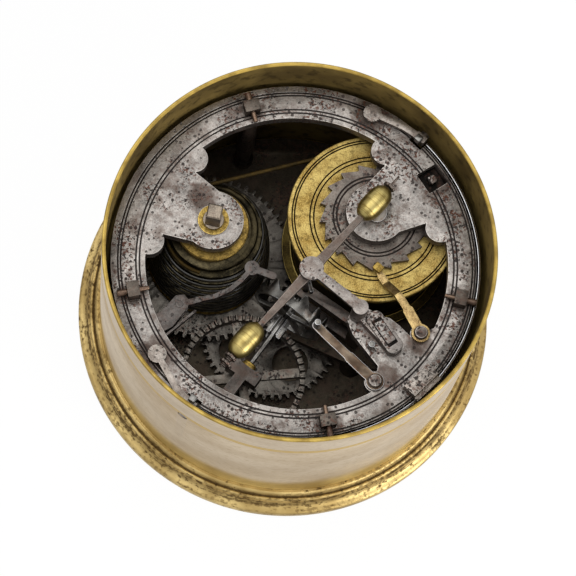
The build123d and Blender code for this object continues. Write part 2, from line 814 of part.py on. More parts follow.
winding_teeth = 20
winding_ratchet_radius = 9.0
winding_ratchet_depth = 1.0
winding_bottom = great_top + bearing_gap
with BuildPart() as winding_ratchet:
    with BuildSketch(Plane.XY.offset(winding_bottom)):
        winding_points = []
        for index in range(winding_teeth):
            drop = index * 360.0 / winding_teeth
            winding_points.append(about(fusee_axis, winding_ratchet_radius, drop))
            winding_points.append(
                about(fusee_axis, winding_ratchet_radius - winding_ratchet_depth, drop - 2.0)
            )
        with BuildLine():
            Polyline(winding_points, close=True)
        make_face()
        with Locations(fusee_axis):
            Circle(fusee_arbor_radius + fit, mode=Mode.SUBTRACT)
    extrude(amount=fusee_bottom - winding_bottom)
winding_ratchet.part.label = "winding_ratchet"
export_step(winding_ratchet.part, "parts/winding_ratchet.step")

winding_click_thickness = 0.9
click_pivot_angle = 150.0
with BuildPart() as winding_click:
    with BuildSketch(Plane.XY.offset(great_top)):
        pivot = about(fusee_axis, winding_ratchet_radius + 2.6, click_pivot_angle)
        with BuildLine():
            Polyline(
                about(fusee_axis, winding_ratchet_radius + 0.25, click_pivot_angle + 34),
                about(fusee_axis, winding_ratchet_radius + 1.0, click_pivot_angle + 14),
                about(fusee_axis, winding_ratchet_radius + 1.0, click_pivot_angle),
                about(fusee_axis, winding_ratchet_radius + 4.0, click_pivot_angle),
                about(fusee_axis, winding_ratchet_radius + 3.0, click_pivot_angle + 16),
                about(fusee_axis, winding_ratchet_radius + 1.2, click_pivot_angle + 34),
                close=True,
            )
        make_face()
        with Locations(pivot):
            Circle(1.5)
    extrude(amount=winding_click_thickness)
winding_click.part.label = "winding_click"
export_step(winding_click.part, "parts/winding_click.step")

click_spring_radius = winding_ratchet_radius + 4.3
click_spring_strip = arc_strip(
    fusee_axis, click_spring_radius, click_spring_radius + 0.5, click_pivot_angle + 10,
    click_pivot_angle + 80,
)
with BuildPart() as winding_click_spring:
    with BuildSketch(Plane.XY.offset(great_top)):
        add(click_spring_strip)
        with Locations(about(fusee_axis, winding_ratchet_radius + 4.4, click_pivot_angle + 82)):
            Circle(1.1)
    extrude(amount=winding_click_thickness)
winding_click_spring.part.label = "winding_click_spring"
export_step(winding_click_spring.part, "parts/winding_click_spring.step")

# Great wheel on a pipe that turns in the front plate
with BuildPart() as great_wheel:
    with BuildSketch(Plane.XY.offset(great_bottom)):
        with BuildLine():
            Polyline(
                tooth_outline(
                    great_teeth, great_module, wheel_tooth, wheel_addendum, wheel_dedendum,
                    fusee_axis, angle_between(fusee_axis, second_axis),
                ),
                close=True,
            )
        make_face()
        with Locations(fusee_axis):
            Circle(pipe_bore_radius, mode=Mode.SUBTRACT)
    extrude(amount=great_thickness)
    with BuildSketch(Plane.XY.offset(front_plate_top + bearing_gap)):
        with Locations(fusee_axis):
            Circle(great_pipe_radius + 2)
            Circle(pipe_bore_radius, mode=Mode.SUBTRACT)
    extrude(amount=great_bottom - front_plate_top - bearing_gap)
    with BuildSketch(Plane.XY.offset(hour_wheel_bottom - 0.4)):
        with Locations(fusee_axis):
            Circle(great_pipe_radius)
            Circle(pipe_bore_radius, mode=Mode.SUBTRACT)
    extrude(amount=front_plate_top + bearing_gap - hour_wheel_bottom + 0.4)
great_wheel.part.label = "great_wheel"
export_step(great_wheel.part, "parts/great_wheel.step")


# Gut line: a coil in the fusee's groove, a taut run to the barrel, a turn there
def add_coil(centre, radius_at, top, turns, start_angle):
    """Path of a coil that winds down from a height, on arcs that meet in tangent."""
    def place(turn):
        angle = math.radians(start_angle) + 2 * math.pi * turn
        height = top - line_pitch * turn
        radius = radius_at(height)
        return Vector(
            centre[0] + radius * math.cos(angle), centre[1] + radius * math.sin(angle), height
        )

    def heading(turn):
        return (place(turn + 0.001) - place(turn - 0.001)).normalized()

    with BuildLine() as path:
        quarters = round(turns * 4)
        Line(place(0) - heading(0) * 2 * line_radius, place(0))
        for quarter in range(quarters):
            start = place(quarter / 4)
            end = place((quarter + 1) / 4)
            start_dir = heading(quarter / 4)
            end_dir = heading((quarter + 1) / 4)
            chord = end - start
            both = start_dir + end_dir
            spare = 2 * (1 - start_dir.dot(end_dir))
            reach = (-chord.dot(both) + math.sqrt(chord.dot(both) ** 2 + spare * chord.dot(chord))) / spare
            joint = (start + start_dir * reach + end - end_dir * reach) * 0.5
            turn_dir = (end - end_dir * reach - start - start_dir * reach).normalized()
            TangentArc(start, joint, tangent=start_dir)
            TangentArc(joint, end, tangent=turn_dir)
        Line(place(quarters / 4), place(quarters / 4) + heading(quarters / 4) * 2 * line_radius)
    samples = 6
    points = [edge @ (step / samples) for edge in path.line.edges() for step in range(samples)]
    three_quarters = 6 * samples
    least = min(
        (points[later] - points[first]).length
        for first in range(len(points))
        for later in range(first + three_quarters, len(points))
    )
    print(f"coil of {turns} turns, least gap to itself {least - 2 * line_radius:.2f} mm")
    return path


coil_top = line_run_height - 2 * line_radius - line_gap - 0.4
fusee_coil_path = add_coil(
    fusee_axis, lambda height: line_orbit(height, coil_gap), coil_top, line_turns, 200.0
)
with BuildPart() as gut_line_on_fusee:
    with BuildSketch(Plane(fusee_coil_path.line @ 0, z_dir=fusee_coil_path.line % 0)):
        Circle(line_radius)
    sweep(path=fusee_coil_path.line)
gut_line_on_fusee.part.label = "gut_line_on_fusee"
export_step(gut_line_on_fusee.part, "parts/gut_line_on_fusee.step")

barrel_line_radius = barrel_core_radius + line_radius + coil_gap
barrel_coil_path = add_coil(
    barrel_axis, lambda height: barrel_line_radius, line_run_height - line_pitch, 1.25, 150.0
)
with BuildPart() as gut_line_on_barrel:
    with BuildSketch(Plane(barrel_coil_path.line @ 0, z_dir=barrel_coil_path.line % 0)):
        Circle(line_radius)
    sweep(path=barrel_coil_path.line)
gut_line_on_barrel.part.label = "gut_line_on_barrel"
export_step(gut_line_on_barrel.part, "parts/gut_line_on_barrel.step")

run_fusee_radius = line_orbit(line_run_height, line_gap)
run_barrel_radius = barrel_core_radius + line_radius + line_gap
axis_spacing = math.dist(fusee_axis, barrel_axis)
run_angle = angle_between(fusee_axis, barrel_axis) + 90
run_angle += math.degrees(math.asin((run_barrel_radius - run_fusee_radius) / axis_spacing))
fusee_wrap = 150.0
barrel_wrap = 120.0
with BuildPart() as gut_line_run:
    with BuildLine(Plane.XY.offset(line_run_height)) as run_path:
        fusee_start = about(fusee_axis, run_fusee_radius, run_angle + fusee_wrap)
        fusee_leave = about(fusee_axis, run_fusee_radius, run_angle)
        barrel_meet = about(barrel_axis, run_barrel_radius, run_angle)
        barrel_end = about(barrel_axis, run_barrel_radius, run_angle - barrel_wrap)
        Line(about(fusee_start, -2 * line_radius, run_angle + fusee_wrap - 90), fusee_start)
        ThreePointArc(
            fusee_start, about(fusee_axis, run_fusee_radius, run_angle + fusee_wrap / 2), fusee_leave
        )
        Line(fusee_leave, barrel_meet)
        ThreePointArc(
            barrel_meet, about(barrel_axis, run_barrel_radius, run_angle - barrel_wrap / 2), barrel_end
        )
        Line(barrel_end, about(barrel_end, 2 * line_radius, run_angle - barrel_wrap - 90))
    with BuildSketch(Plane(run_path.line @ 0, z_dir=run_path.line % 0)):
        Circle(line_radius)
    sweep(path=run_path.line)
gut_line_run.part.label = "gut_line_run"
export_step(gut_line_run.part, "parts/gut_line_run.step")

# Second wheel, its arbor with an eight-leaf pinion, and its cock
second_pinion_bottom = second_bottom + second_thickness
second_pinion_top = great_top + 1.0
second_arbor_radius = 1.2
second_phase = angle_between(second_axis, contrate_axis)
with BuildPart() as second_wheel:
    with BuildSketch(Plane.XY.offset(second_bottom)):
        with BuildLine():
            Polyline(
                tooth_outline(
                    second_teeth, second_module, wheel_tooth, wheel_addendum, wheel_dedendum,
                    second_axis, second_phase,
                ),
                close=True,
            )
        make_face()
        for quarter in range(4):
            with Locations(about(second_axis, second_pitch_radius * 0.56, 45 + 90 * quarter)):
                Circle(5.4, mode=Mode.SUBTRACT)
        with Locations(second_axis):
            Circle(second_arbor_radius + fit, mode=Mode.SUBTRACT)
    extrude(amount=second_thickness)
second_wheel.part.label = "second_wheel"
export_step(second_wheel.part, "parts/second_wheel.step")

second_arbor_top = great_top + 4.0
second_cock_thickness = 2.5
with BuildPart() as second_pinion:
    with BuildSketch(Plane.XY.offset(second_pinion_bottom)):
        with BuildLine():
            Polyline(
                tooth_outline(
                    second_leaves, great_module, leaf_tooth, leaf_addendum, leaf_dedendum,
                    second_axis, angle_between(second_axis, fusee_axis) + 180 / second_leaves,
                ),
                close=True,
            )
        make_face()
    extrude(amount=second_pinion_top - second_pinion_bottom)
    with BuildSketch(Plane.XY.offset(front_plate_top + bearing_gap)):
        with Locations(second_axis):
            Circle(second_arbor_radius)
    extrude(amount=second_arbor_top - front_plate_top - 2 * bearing_gap)
    with BuildSketch(Plane.XY.offset(front_plate_top - 1.5)):
        with Locations(second_axis):
            Circle(second_pivot_radius)
    extrude(amount=second_arbor_top + second_cock_thickness - front_plate_top + 1.5)
second_pinion.part.label = "second_pinion"
export_step(second_pinion.part, "parts/second_pinion.step")

second_cock_foot = (22.9, -13.6)
second_cock_foot_radius = 3.2
cock_direction = angle_between(second_cock_foot, second_axis)
with BuildPart() as second_wheel_cock:
    with BuildSketch(Plane.XY.offset(front_plate_top)):
        with Locations(second_cock_foot):
            Circle(second_cock_foot_radius)
    extrude(amount=second_arbor_top + second_cock_thickness - front_plate_top)
    with BuildSketch(Plane.XY.offset(second_arbor_top)):
        with BuildLine():
            Polyline(
                about(second_cock_foot, second_cock_foot_radius, cock_direction + 90),
                about(second_axis, 2.4, cock_direction + 90),
                about(second_axis, 2.4, cock_direction),
                about(second_axis, 2.4, cock_direction - 90),
                about(second_cock_foot, second_cock_foot_radius, cock_direction - 90),
                close=True,
            )
        make_face()
        with Locations(second_axis):
            Circle(2.4)
            Circle(second_pivot_radius + running_fit, mode=Mode.SUBTRACT)
    extrude(amount=second_cock_thickness)
second_wheel_cock.part.label = "second_wheel_cock"
export_step(second_wheel_cock.part, "parts/second_wheel_cock.step")

# Contrate wheel: crown of upright teeth, four arms, on a six-leaf pinion arbor
crown_module = 2 * contrate_pitch_radius / contrate_teeth
crown_pinion_pitch = crown_module * crown_leaves / 2
contrate_pitch_height = crown_arbor_height - crown_pinion_pitch
contrate_tooth_root = contrate_pitch_height - wheel_dedendum * crown_module
contrate_tooth_tip = contrate_pitch_height + wheel_addendum * crown_module
contrate_bottom = contrate_tooth_root - contrate_rim_height
contrate_outer = contrate_pitch_radius + contrate_band / 2
contrate_inner = contrate_pitch_radius - contrate_band / 2
contrate_arbor_radius = 1.2
arm_thickness = 1.5
arm_width = 2.6
with BuildPart() as contrate_wheel:
    with BuildSketch(Plane.XY.offset(contrate_bottom)):
        with Locations(contrate_axis):
            Circle(contrate_outer)
            Circle(contrate_inner, mode=Mode.SUBTRACT)
    extrude(amount=contrate_rim_height)
    with BuildSketch(Plane.XY.offset(contrate_bottom)):
        with Locations(contrate_axis):
            Rectangle(2 * contrate_inner + 0.6, arm_width, rotation=20)
            Rectangle(2 * contrate_inner + 0.6, arm_width, rotation=110)
            Circle(3.6)
            Circle(contrate_arbor_radius + fit, mode=Mode.SUBTRACT)
    extrude(amount=arm_thickness)
    for index in range(contrate_teeth):
        tooth_angle = crown_angle + 360.0 * index / contrate_teeth
        pitch = math.pi * crown_module
        with BuildSketch(
            Plane(
                about(contrate_axis, contrate_inner, tooth_angle) + (0,),
                x_dir=polar(1, tooth_angle + 90) + (0,),
                z_dir=polar(1, tooth_angle) + (0,),
            )
        ):
            with BuildLine():
                Polyline(
                    (-wheel_tooth[0] * pitch / 2, contrate_tooth_root),
                    (wheel_tooth[0] * pitch / 2, contrate_tooth_root),
                    (wheel_tooth[1] * pitch / 2, contrate_pitch_height),
                    (wheel_tooth[2] * pitch / 2, contrate_tooth_tip),
                    (-wheel_tooth[2] * pitch / 2, contrate_tooth_tip),
                    (-wheel_tooth[1] * pitch / 2, contrate_pitch_height),
                    close=True,
                )
            make_face()
        extrude(amount=contrate_band)
contrate_wheel.part.label = "contrate_wheel"
export_step(contrate_wheel.part, "parts/contrate_wheel.step")

contrate_arbor_top = contrate_bottom + arm_thickness + 1.4
with BuildPart() as contrate_pinion:
    with BuildSketch(Plane.XY.offset(front_plate_top + bearing_gap)):
        with BuildLine():
            Polyline(
                tooth_outline(
                    contrate_leaves, second_module, leaf_tooth, leaf_addendum, leaf_dedendum,
                    contrate_axis, second_phase + 180 + 180 / contrate_leaves,
                ),
                close=True,
            )
        make_face()
    extrude(amount=second_bottom + second_thickness + 1.0 - front_plate_top - bearing_gap)
    with BuildSketch(Plane.XY.offset(front_plate_top + bearing_gap)):
        with Locations(contrate_axis):
            Circle(contrate_arbor_radius)
    extrude(amount=contrate_arbor_top - front_plate_top - bearing_gap)
    with BuildSketch(Plane.XY.offset(front_plate_top - 1.5)):
        with Locations(contrate_axis):
            Circle(contrate_pivot_radius)
    extrude(amount=contrate_arbor_top + 1.5 - front_plate_top + 1.5)
contrate_pinion.part.label = "contrate_pinion"
export_step(contrate_pinion.part, "parts/contrate_pinion.step")

# Crown wheel and its arbor, lying along the line from the verge to the contrate
# arbor; distances run from the verge.
crown_line = Plane(
    verge_axis + (crown_arbor_height,),
    x_dir=(0, 0, 1),
    z_dir=polar(1, crown_angle + 180) + (0,),
)
crown_tip_plane = 4.3
crown_tooth_length = 2.8
crown_band_end = 9.6
crown_radius = 11.0
crown_rim = 0.9
crown_arbor_size = 0.75
crown_pivot_radius = 0.4
crown_pinion_start = 10.8
crown_pinion_end = 16.4
crown_inner_end = 3.3
crown_outer_end = 28.3
crown_hub_radius = 2.4
with BuildPart() as crown_wheel:
    with BuildSketch(crown_line.offset(crown_tip_plane + crown_tooth_length)):
        Circle(crown_radius)
        Circle(crown_radius - crown_rim, mode=Mode.SUBTRACT)
    extrude(amount=crown_band_end - crown_tip_plane - crown_tooth_length)
    with BuildSketch(crown_line.offset(crown_band_end - 1.1)):
        Rectangle(2 * (crown_radius - crown_rim) + 0.4, 2.0, rotation=30)
        Rectangle(2 * (crown_radius - crown_rim) + 0.4, 2.0, rotation=120)
        Circle(crown_hub_radius)
        Circle(crown_arbor_size + fit, mode=Mode.SUBTRACT)
    extrude(amount=1.1)
    with BuildSketch(crown_line.offset(crown_tip_plane)):
        Circle(crown_radius)
        Circle(crown_radius - crown_rim, mode=Mode.SUBTRACT)
    extrude(amount=crown_tooth_length)
    for index in range(crown_teeth):
        gap_angle = 360.0 * index / crown_teeth
        tooth_pitch = 2 * math.pi * crown_radius / crown_teeth
        with BuildSketch(
            Plane(
                crown_line.origin,
                x_dir=crown_line.z_dir,
                z_dir=crown_line.x_dir.rotate(Axis((0, 0, 0), crown_line.z_dir), gap_angle),
            )
        ):
            with BuildLine():
                Polyline(
                    (crown_tip_plane - 0.2, -tooth_pitch * 0.46),
                    (crown_tip_plane - 0.2, tooth_pitch * 0.40),
                    (crown_tip_plane + crown_tooth_length, tooth_pitch * 0.30),
                    (crown_tip_plane + crown_tooth_length, tooth_pitch * 0.05),
                    close=True,
                )
            make_face()
        extrude(amount=crown_radius + 1, mode=Mode.SUBTRACT)
crown_wheel.part.label = "crown_wheel"
export_step(crown_wheel.part, "parts/crown_wheel.step")

with BuildPart() as crown_pinion:
    with BuildSketch(crown_line.offset(crown_pinion_start)):
        with BuildLine():
            Polyline(
                tooth_outline(
                    crown_leaves, crown_module, leaf_tooth, leaf_addendum, leaf_dedendum,
                    (0, 0), 180 / crown_leaves + 180,
                ),
                close=True,
            )
        make_face()
    extrude(amount=crown_pinion_end - crown_pinion_start)
    with BuildSketch(crown_line.offset(crown_inner_end)):
        Circle(crown_arbor_size)
    extrude(amount=crown_outer_end - crown_inner_end)
    with BuildSketch(crown_line.offset(crown_inner_end - 1.2)):
        Circle(crown_pivot_radius)
    extrude(amount=crown_outer_end - crown_inner_end + 2.4)
crown_pinion.part.label = "crown_pinion"
export_step(crown_pinion.part, "parts/crown_pinion.step")

# Outer potence below the ring, with the brass plug of the crown arbor
potence_head_start = crown_outer_end + bearing_gap
potence_head_end = contrate_distance + 1.8
potence_head_bottom = contrate_arbor_top + bearing_gap
potence_head_top = crown_arbor_height + 2.6
# The root lies under the ring, so its distance from the verge follows the ring.
verge_lead = verge_x * polar(1, crown_angle + 180)[0] + verge_y * polar(1, crown_angle + 180)[1]
verge_aside = verge_x * polar(1, crown_angle + 180)[1] - verge_y * polar(1, crown_angle + 180)[0]
potence_root_start = math.sqrt((ring_inner_radius + 1.0) ** 2 - verge_aside ** 2) - verge_lead
potence_root_end = potence_root_start + 3.6
potence_arm_width = 3.4
head_half_width = 5.0
plug_radius = 1.5
plug_length = 1.5
crown_plan = Plane(
    verge_axis + (0,), x_dir=polar(1, crown_angle + 180) + (0,), z_dir=(0, 0, 1)
)
with BuildPart() as outer_potence:
    with BuildSketch(crown_plan.offset(potence_head_bottom)):
        with Locations(((potence_head_start + potence_head_end) / 2, 0)):
            Rectangle(potence_head_end - potence_head_start, 2 * head_half_width)
    extrude(amount=potence_head_top - potence_head_bottom)
    with BuildSketch(crown_plan.offset(contrate_tooth_tip + 0.8)):
        with Locations(((potence_head_end + potence_root_end) / 2 - 0.5, 0)):
            Rectangle(potence_root_end - potence_head_end + 1.0, potence_arm_width)
    extrude(amount=potence_head_top - contrate_tooth_tip - 0.8)
    with BuildSketch(crown_plan.offset(contrate_tooth_tip + 0.8)):
        with Locations(((potence_root_start + potence_root_end) / 2, 0)):
            Rectangle(potence_root_end - potence_root_start, potence_arm_width + 2)
    extrude(amount=back_plate_bottom - contrate_tooth_tip - 0.8)
    with BuildSketch(crown_line.offset(potence_head_start - 1)):
        Circle(plug_radius + 0.02)
    extrude(amount=1 + plug_length, mode=Mode.SUBTRACT)
    with BuildSketch(Plane.XY.offset(potence_head_bottom - 0.5)):
        with Locations(contrate_axis):
            Circle(contrate_pivot_radius + running_fit)
    extrude(amount=2.2, mode=Mode.SUBTRACT)
outer_potence.part.label = "outer_potence"
export_step(outer_potence.part, "parts/outer_potence.step")

with BuildPart() as potence_plug:
    with BuildSketch(crown_line.offset(potence_head_start)):
        Circle(plug_radius)
        Circle(crown_pivot_radius + running_fit, mode=Mode.SUBTRACT)
    extrude(amount=plug_length)
potence_plug.part.label = "potence_plug"
export_step(potence_plug.part, "parts/potence_plug.step")

# Inner potence: a leg below the cock lobe with two arms to the verge
leg_distance = 18.4
leg_half = 2.1
arm_side = 1.5
upper_arm_half = 1.8
upper_arm_bottom = crown_arbor_height - upper_arm_half
upper_arm_top = crown_arbor_height + upper_arm_half
lower_arm_top = crown_arbor_height - crown_radius - 2.0
lower_arm_bottom = lower_arm_top - 3.0
nose_reach = 3.0
verge_foot = lower_arm_top - 1.6
verge_clear = 1.2
with BuildPart() as inner_potence:
    with BuildSketch(crown_plan.offset(lower_arm_bottom)):
        with Locations((0, leg_distance)):
            Rectangle(2 * arm_side, 2 * leg_half)
    extrude(amount=back_plate_bottom - lower_arm_bottom)
    for bottom, top in ((upper_arm_bottom, upper_arm_top), (lower_arm_bottom, lower_arm_top)):
        with BuildSketch(crown_plan.offset(bottom)):
            with Locations((0, (leg_distance - 2.2) / 2)):
                Rectangle(2 * arm_side, leg_distance + 2.2)
        extrude(amount=top - bottom)
    with BuildSketch(crown_plan.offset(upper_arm_bottom)):
        with Locations((nose_reach / 2, 0)):
            Rectangle(nose_reach, 3.6)
    extrude(amount=upper_arm_top - upper_arm_bottom)
    with BuildSketch(crown_plan.offset(upper_arm_bottom - 1)):
        Circle(verge_clear)
    extrude(amount=upper_arm_top - upper_arm_bottom + 2, mode=Mode.SUBTRACT)
    with BuildSketch(crown_plan.offset(verge_foot - 0.1)):
        Circle(verge_radius - 0.3 + running_fit)
    extrude(amount=3, mode=Mode.SUBTRACT)
    with BuildSketch(crown_line.offset(crown_inner_end - 1.3)):
        Circle(crown_pivot_radius + running_fit)
    extrude(amount=3, mode=Mode.SUBTRACT)
inner_potence.part.label = "inner_potence"
export_step(inner_potence.part, "parts/inner_potence.step")

# Verge with two pallets, foliot bar, weights, end nuts
pallet_height = 2.6
pallet_thickness = 0.9
pallet_lean = 48.0
verge_top = foliot_height + 1.2
hub_radius = 2.6
upper_pallet = crown_arbor_height + crown_radius - 2.2
lower_pallet = crown_arbor_height - crown_radius - 0.4
with BuildPart() as verge:
    with BuildSketch(Plane.XY.offset(lower_arm_top + bearing_gap)):
        with Locations(verge_axis):
            Circle(verge_radius)
    extrude(amount=verge_top - lower_arm_top - bearing_gap)
    with BuildSketch(Plane.XY.offset(verge_foot)):
        with Locations(verge_axis):
            Circle(verge_radius - 0.3)
    extrude(amount=4)
    for bottom, lean in ((lower_pallet, -pallet_lean), (upper_pallet, pallet_lean)):
        with BuildSketch(Plane.XY.offset(bottom)):
            side = crown_angle + 180 + lean
            with Locations(about(verge_axis, pallet_reach / 2, side)):
                Rectangle(pallet_reach, pallet_thickness, rotation=side)
        extrude(amount=pallet_height)
verge.part.label = "verge"
export_step(verge.part, "parts/verge.step")

bar_bottom = foliot_height - foliot_bar_height / 2
with BuildPart() as foliot_bar:
    with BuildSketch(Plane.XY.offset(bar_bottom)):
        with BuildLine():
            Polyline(
                about(about(verge_axis, 5, foliot_angle), foliot_bar_width / 2 + 0.5, foliot_angle + 90),
                about(about(verge_axis, foliot_half_length, foliot_angle), 0.7, foliot_angle + 90),
                about(about(verge_axis, foliot_half_length, foliot_angle), 0.7, foliot_angle - 90),
                about(about(verge_axis, 5, foliot_angle), foliot_bar_width / 2 + 0.5, foliot_angle - 90),
                about(about(verge_axis, -5, foliot_angle), foliot_bar_width / 2 + 0.5, foliot_angle - 90),
                about(about(verge_axis, -foliot_half_length, foliot_angle), 0.7, foliot_angle - 90),
                about(about(verge_axis, -foliot_half_length, foliot_angle), 0.7, foliot_angle + 90),
                about(about(verge_axis, -5, foliot_angle), foliot_bar_width / 2 + 0.5, foliot_angle + 90),
                close=True,
            )
        make_face()
        with Locations(verge_axis):
            Circle(hub_radius)
            Circle(verge_radius + fit, mode=Mode.SUBTRACT)
    extrude(amount=foliot_bar_height)
foliot_bar.part.label = "foliot_bar"
export_step(foliot_bar.part, "parts/foliot_bar.step")

with BuildPart() as foliot_weights:
    for sign in (1, -1):
        seat = about(verge_axis, sign * weight_distance, foliot_angle) + (foliot_height,)
        seat_plane = Plane(seat, x_dir=(0, 0, 1), z_dir=polar(1, foliot_angle) + (0,))
        with BuildSketch(
            Plane(seat, x_dir=polar(1, foliot_angle) + (0,), z_dir=polar(1, foliot_angle - 90) + (0,))
        ):
            with BuildLine():
                Polyline((-weight_half_length, 0), (-weight_half_length, weight_radius * 0.45))
                ThreePointArc(
                    (-weight_half_length, weight_radius * 0.45),
                    (0, weight_radius),
                    (weight_half_length, weight_radius * 0.45),
                )
                Polyline(
                    (weight_half_length, weight_radius * 0.45), (weight_half_length, 0),
                    (-weight_half_length, 0),
                )
            make_face()
        revolve(axis=Axis(seat, polar(1, foliot_angle) + (0,)))
        with Locations(seat_plane):
            Box(
                foliot_bar_height + 2 * fit, foliot_bar_width + 2 * fit, 3 * weight_half_length,
                mode=Mode.SUBTRACT,
            )
foliot_weights.part.label = "foliot_weights"
export_step(foliot_weights.part, "parts/foliot_weights.step")

nut_radius = 1.9
nut_thickness = 1.0
with BuildPart() as foliot_nuts:
    for distance in (-35.8, -33.6, 33.6):
        with Locations(
            Plane(
                about(verge_axis, distance, foliot_angle) + (foliot_height,),
                x_dir=(0, 0, 1),
                z_dir=polar(1, foliot_angle) + (0,),
            )
        ):
            Cylinder(nut_radius, nut_thickness)
            Box(foliot_bar_height + 0.1, foliot_bar_height + 0.1, 2, mode=Mode.SUBTRACT)
foliot_nuts.part.label = "foliot_nuts"
export_step(foliot_nuts.part, "parts/foliot_nuts.step")

# Balance cock: shield foot, neck and arm to the disc over the verge
cock_axis_angle = -26.0
cock_arm_bottom = foliot_height + 1.6
cock_arm_thickness = 1.4
cock_disc_radius = 3.4
shield_height = 3.0
with BuildPart() as balance_cock:
    with BuildSketch(Plane.XY.offset(back_plate_top)):
        with BuildLine():
            Polyline(
                (19.0, -9.0), (21.4, -9.0), (26.7, -10.0), (29.5, -12.0), (33.9, -16.0),
                (34.2, -18.2), (32.8, -20.0), (31.0, -20.2), (26.6, -16.6), (22.3, -13.8),
                (19.6, -11.8),
                close=True,
            )
        make_face()
        with Locations(steady_pin_at):
            Circle(steady_pin_radius + fit, mode=Mode.SUBTRACT)
    extrude(amount=shield_height)
    with BuildSketch(Plane.XY.offset(back_plate_top)):
        with Locations(about(verge_axis, 17.4, cock_axis_angle + 1)):
            Circle(2.2)
    extrude(amount=cock_arm_bottom + cock_arm_thickness - back_plate_top)
    with BuildSketch(Plane.XY.offset(cock_arm_bottom)):
        with BuildLine():
            Polyline(
                about(verge_axis, 1.2, cock_axis_angle + 90),
                about(about(verge_axis, 17.4, cock_axis_angle + 1), 1.6, cock_axis_angle + 90),
                about(about(verge_axis, 17.4, cock_axis_angle + 1), 1.6, cock_axis_angle - 90),
                about(verge_axis, 1.2, cock_axis_angle - 90),
                close=True,
            )
        make_face()
        with Locations(verge_axis):
            Circle(cock_disc_radius)
    extrude(amount=cock_arm_thickness)
balance_cock.part.label = "balance_cock"
export_step(balance_cock.part, "parts/balance_cock.step")

with BuildPart() as cock_wedge:
    with BuildSketch(Plane.XY.offset(back_plate_top + shield_height)):
        with BuildLine():
            Polyline((24.4, -11.6), (25.6, -10.9), (32.4, -16.4), (31.2, -18.2), close=True)
        make_face()
    extrude(amount=0.7)
cock_wedge.part.label = "cock_wedge"
export_step(cock_wedge.part, "parts/cock_wedge.step")

with BuildPart() as cock_steady_pin:
    with BuildSketch(Plane.XY.offset(back_plate_bottom)):
        with Locations(steady_pin_at):
            Circle(steady_pin_radius)
    extrude(amount=plate_thickness + shield_height)
cock_steady_pin.part.label = "cock_steady_pin"
export_step(cock_steady_pin.part, "parts/cock_steady_pin.step")

# Regulator: bent strip with an upright pin that limits the foliot's swing
regulator_pin_at = (9.7, -17.0)
regulator_width = 2.5
regulator_thickness = 1.0
regulator_bottom = back_plate_top + fit
regulator_knee = (20.8, -23.6)
regulator_toe = (13.2, -19.2)
regulator_pin_radius = 0.9
regulator_pin_top = foliot_height - 1.4

with BuildPart() as regulator_lever:
    with BuildSketch(Plane.XY.offset(regulator_bottom)):
        strip_between(regulator_rivet_at, regulator_knee, regulator_width + 0.6)
        strip_between(regulator_knee, regulator_toe, regulator_width)
        strip_between(regulator_toe, regulator_pin_at, regulator_width)
        with Locations(regulator_rivet_at):
            Circle(rivet_lug_radius - 0.3)
            Circle(rivet_radius + running_fit, mode=Mode.SUBTRACT)
        with Locations(regulator_pin_at):
            Circle(regulator_pin_radius + fit, mode=Mode.SUBTRACT)
    extrude(amount=regulator_thickness)
regulator_lever.part.label = "regulator_lever"
export_step(regulator_lever.part, "parts/regulator_lever.step")

with BuildPart() as regulator_pin:
    with BuildSketch(Plane.XY.offset(regulator_bottom)):
        with Locations(regulator_pin_at):
            Circle(regulator_pin_radius)
    extrude(amount=regulator_pin_top - regulator_bottom)
regulator_pin.part.label = "regulator_pin"
export_step(regulator_pin.part, "parts/regulator_pin.step")

with BuildPart() as regulator_rivet:
    with BuildSketch(Plane.XY.offset(back_plate_bottom)):
        with Locations(regulator_rivet_at):
            Circle(rivet_radius)
    extrude(amount=plate_thickness + regulator_thickness + 0.25)
    with BuildSketch(Plane.XY.offset(regulator_bottom + regulator_thickness + 0.15)):
        with Locations(regulator_rivet_at):
            Circle(rivet_head_radius)
    extrude(amount=rivet_head_height, taper=25)
regulator_rivet.part.label = "regulator_rivet"
export_step(regulator_rivet.part, "parts/regulator_rivet.step")

# Fusee stop: block below the ring, blade that reaches round the fusee, spring
stop_top = back_plate_bottom
stop_block_height = 4.2
stop_pivot = (-29.0, -19.6)
stop_pivot_radius = 1.0
stop_blade_top = back_plate_bottom - 0.5
stop_blade_bottom = stop_blade_top - 2.4
stop_head_at = (-11.9, -3.9)
stop_head_radius = 2.1
stop_hook = (-5.6, -4.6)
stop_spring_knee = (-28.6, -26.4)
with BuildPart() as stop_block:
    with BuildSketch(Plane.XY.offset(stop_top - stop_block_height)):
        with BuildLine():
            Polyline(
                (-33.4, -23.1),
                (-30.6, -17.4),
                (-28.4, -16.6),
                (-26.4, -18.0),
                (-26.6, -20.2),
                (-29.3, -26.5),
                polar(ring_inner_radius + 4.2, 222.4),
                polar(ring_inner_radius + 5.4, 214.7),
                close=True,
            )
        make_face()
        with Locations(stop_pivot):
            Circle(stop_pivot_radius + fit, mode=Mode.SUBTRACT)
    extrude(amount=stop_block_height)
    with BuildSketch(Plane.XY.offset(stop_blade_bottom - bearing_gap)):
        with Locations(stop_pivot):
            Circle(3.4)
        with Locations((stop_pivot[0] + 4, stop_pivot[1] + 2)):
            Rectangle(8, 6, rotation=20)
    extrude(amount=stop_blade_top - stop_blade_bottom + 2 * bearing_gap, mode=Mode.SUBTRACT)
stop_block.part.label = "stop_block"
export_step(stop_block.part, "parts/stop_block.step")

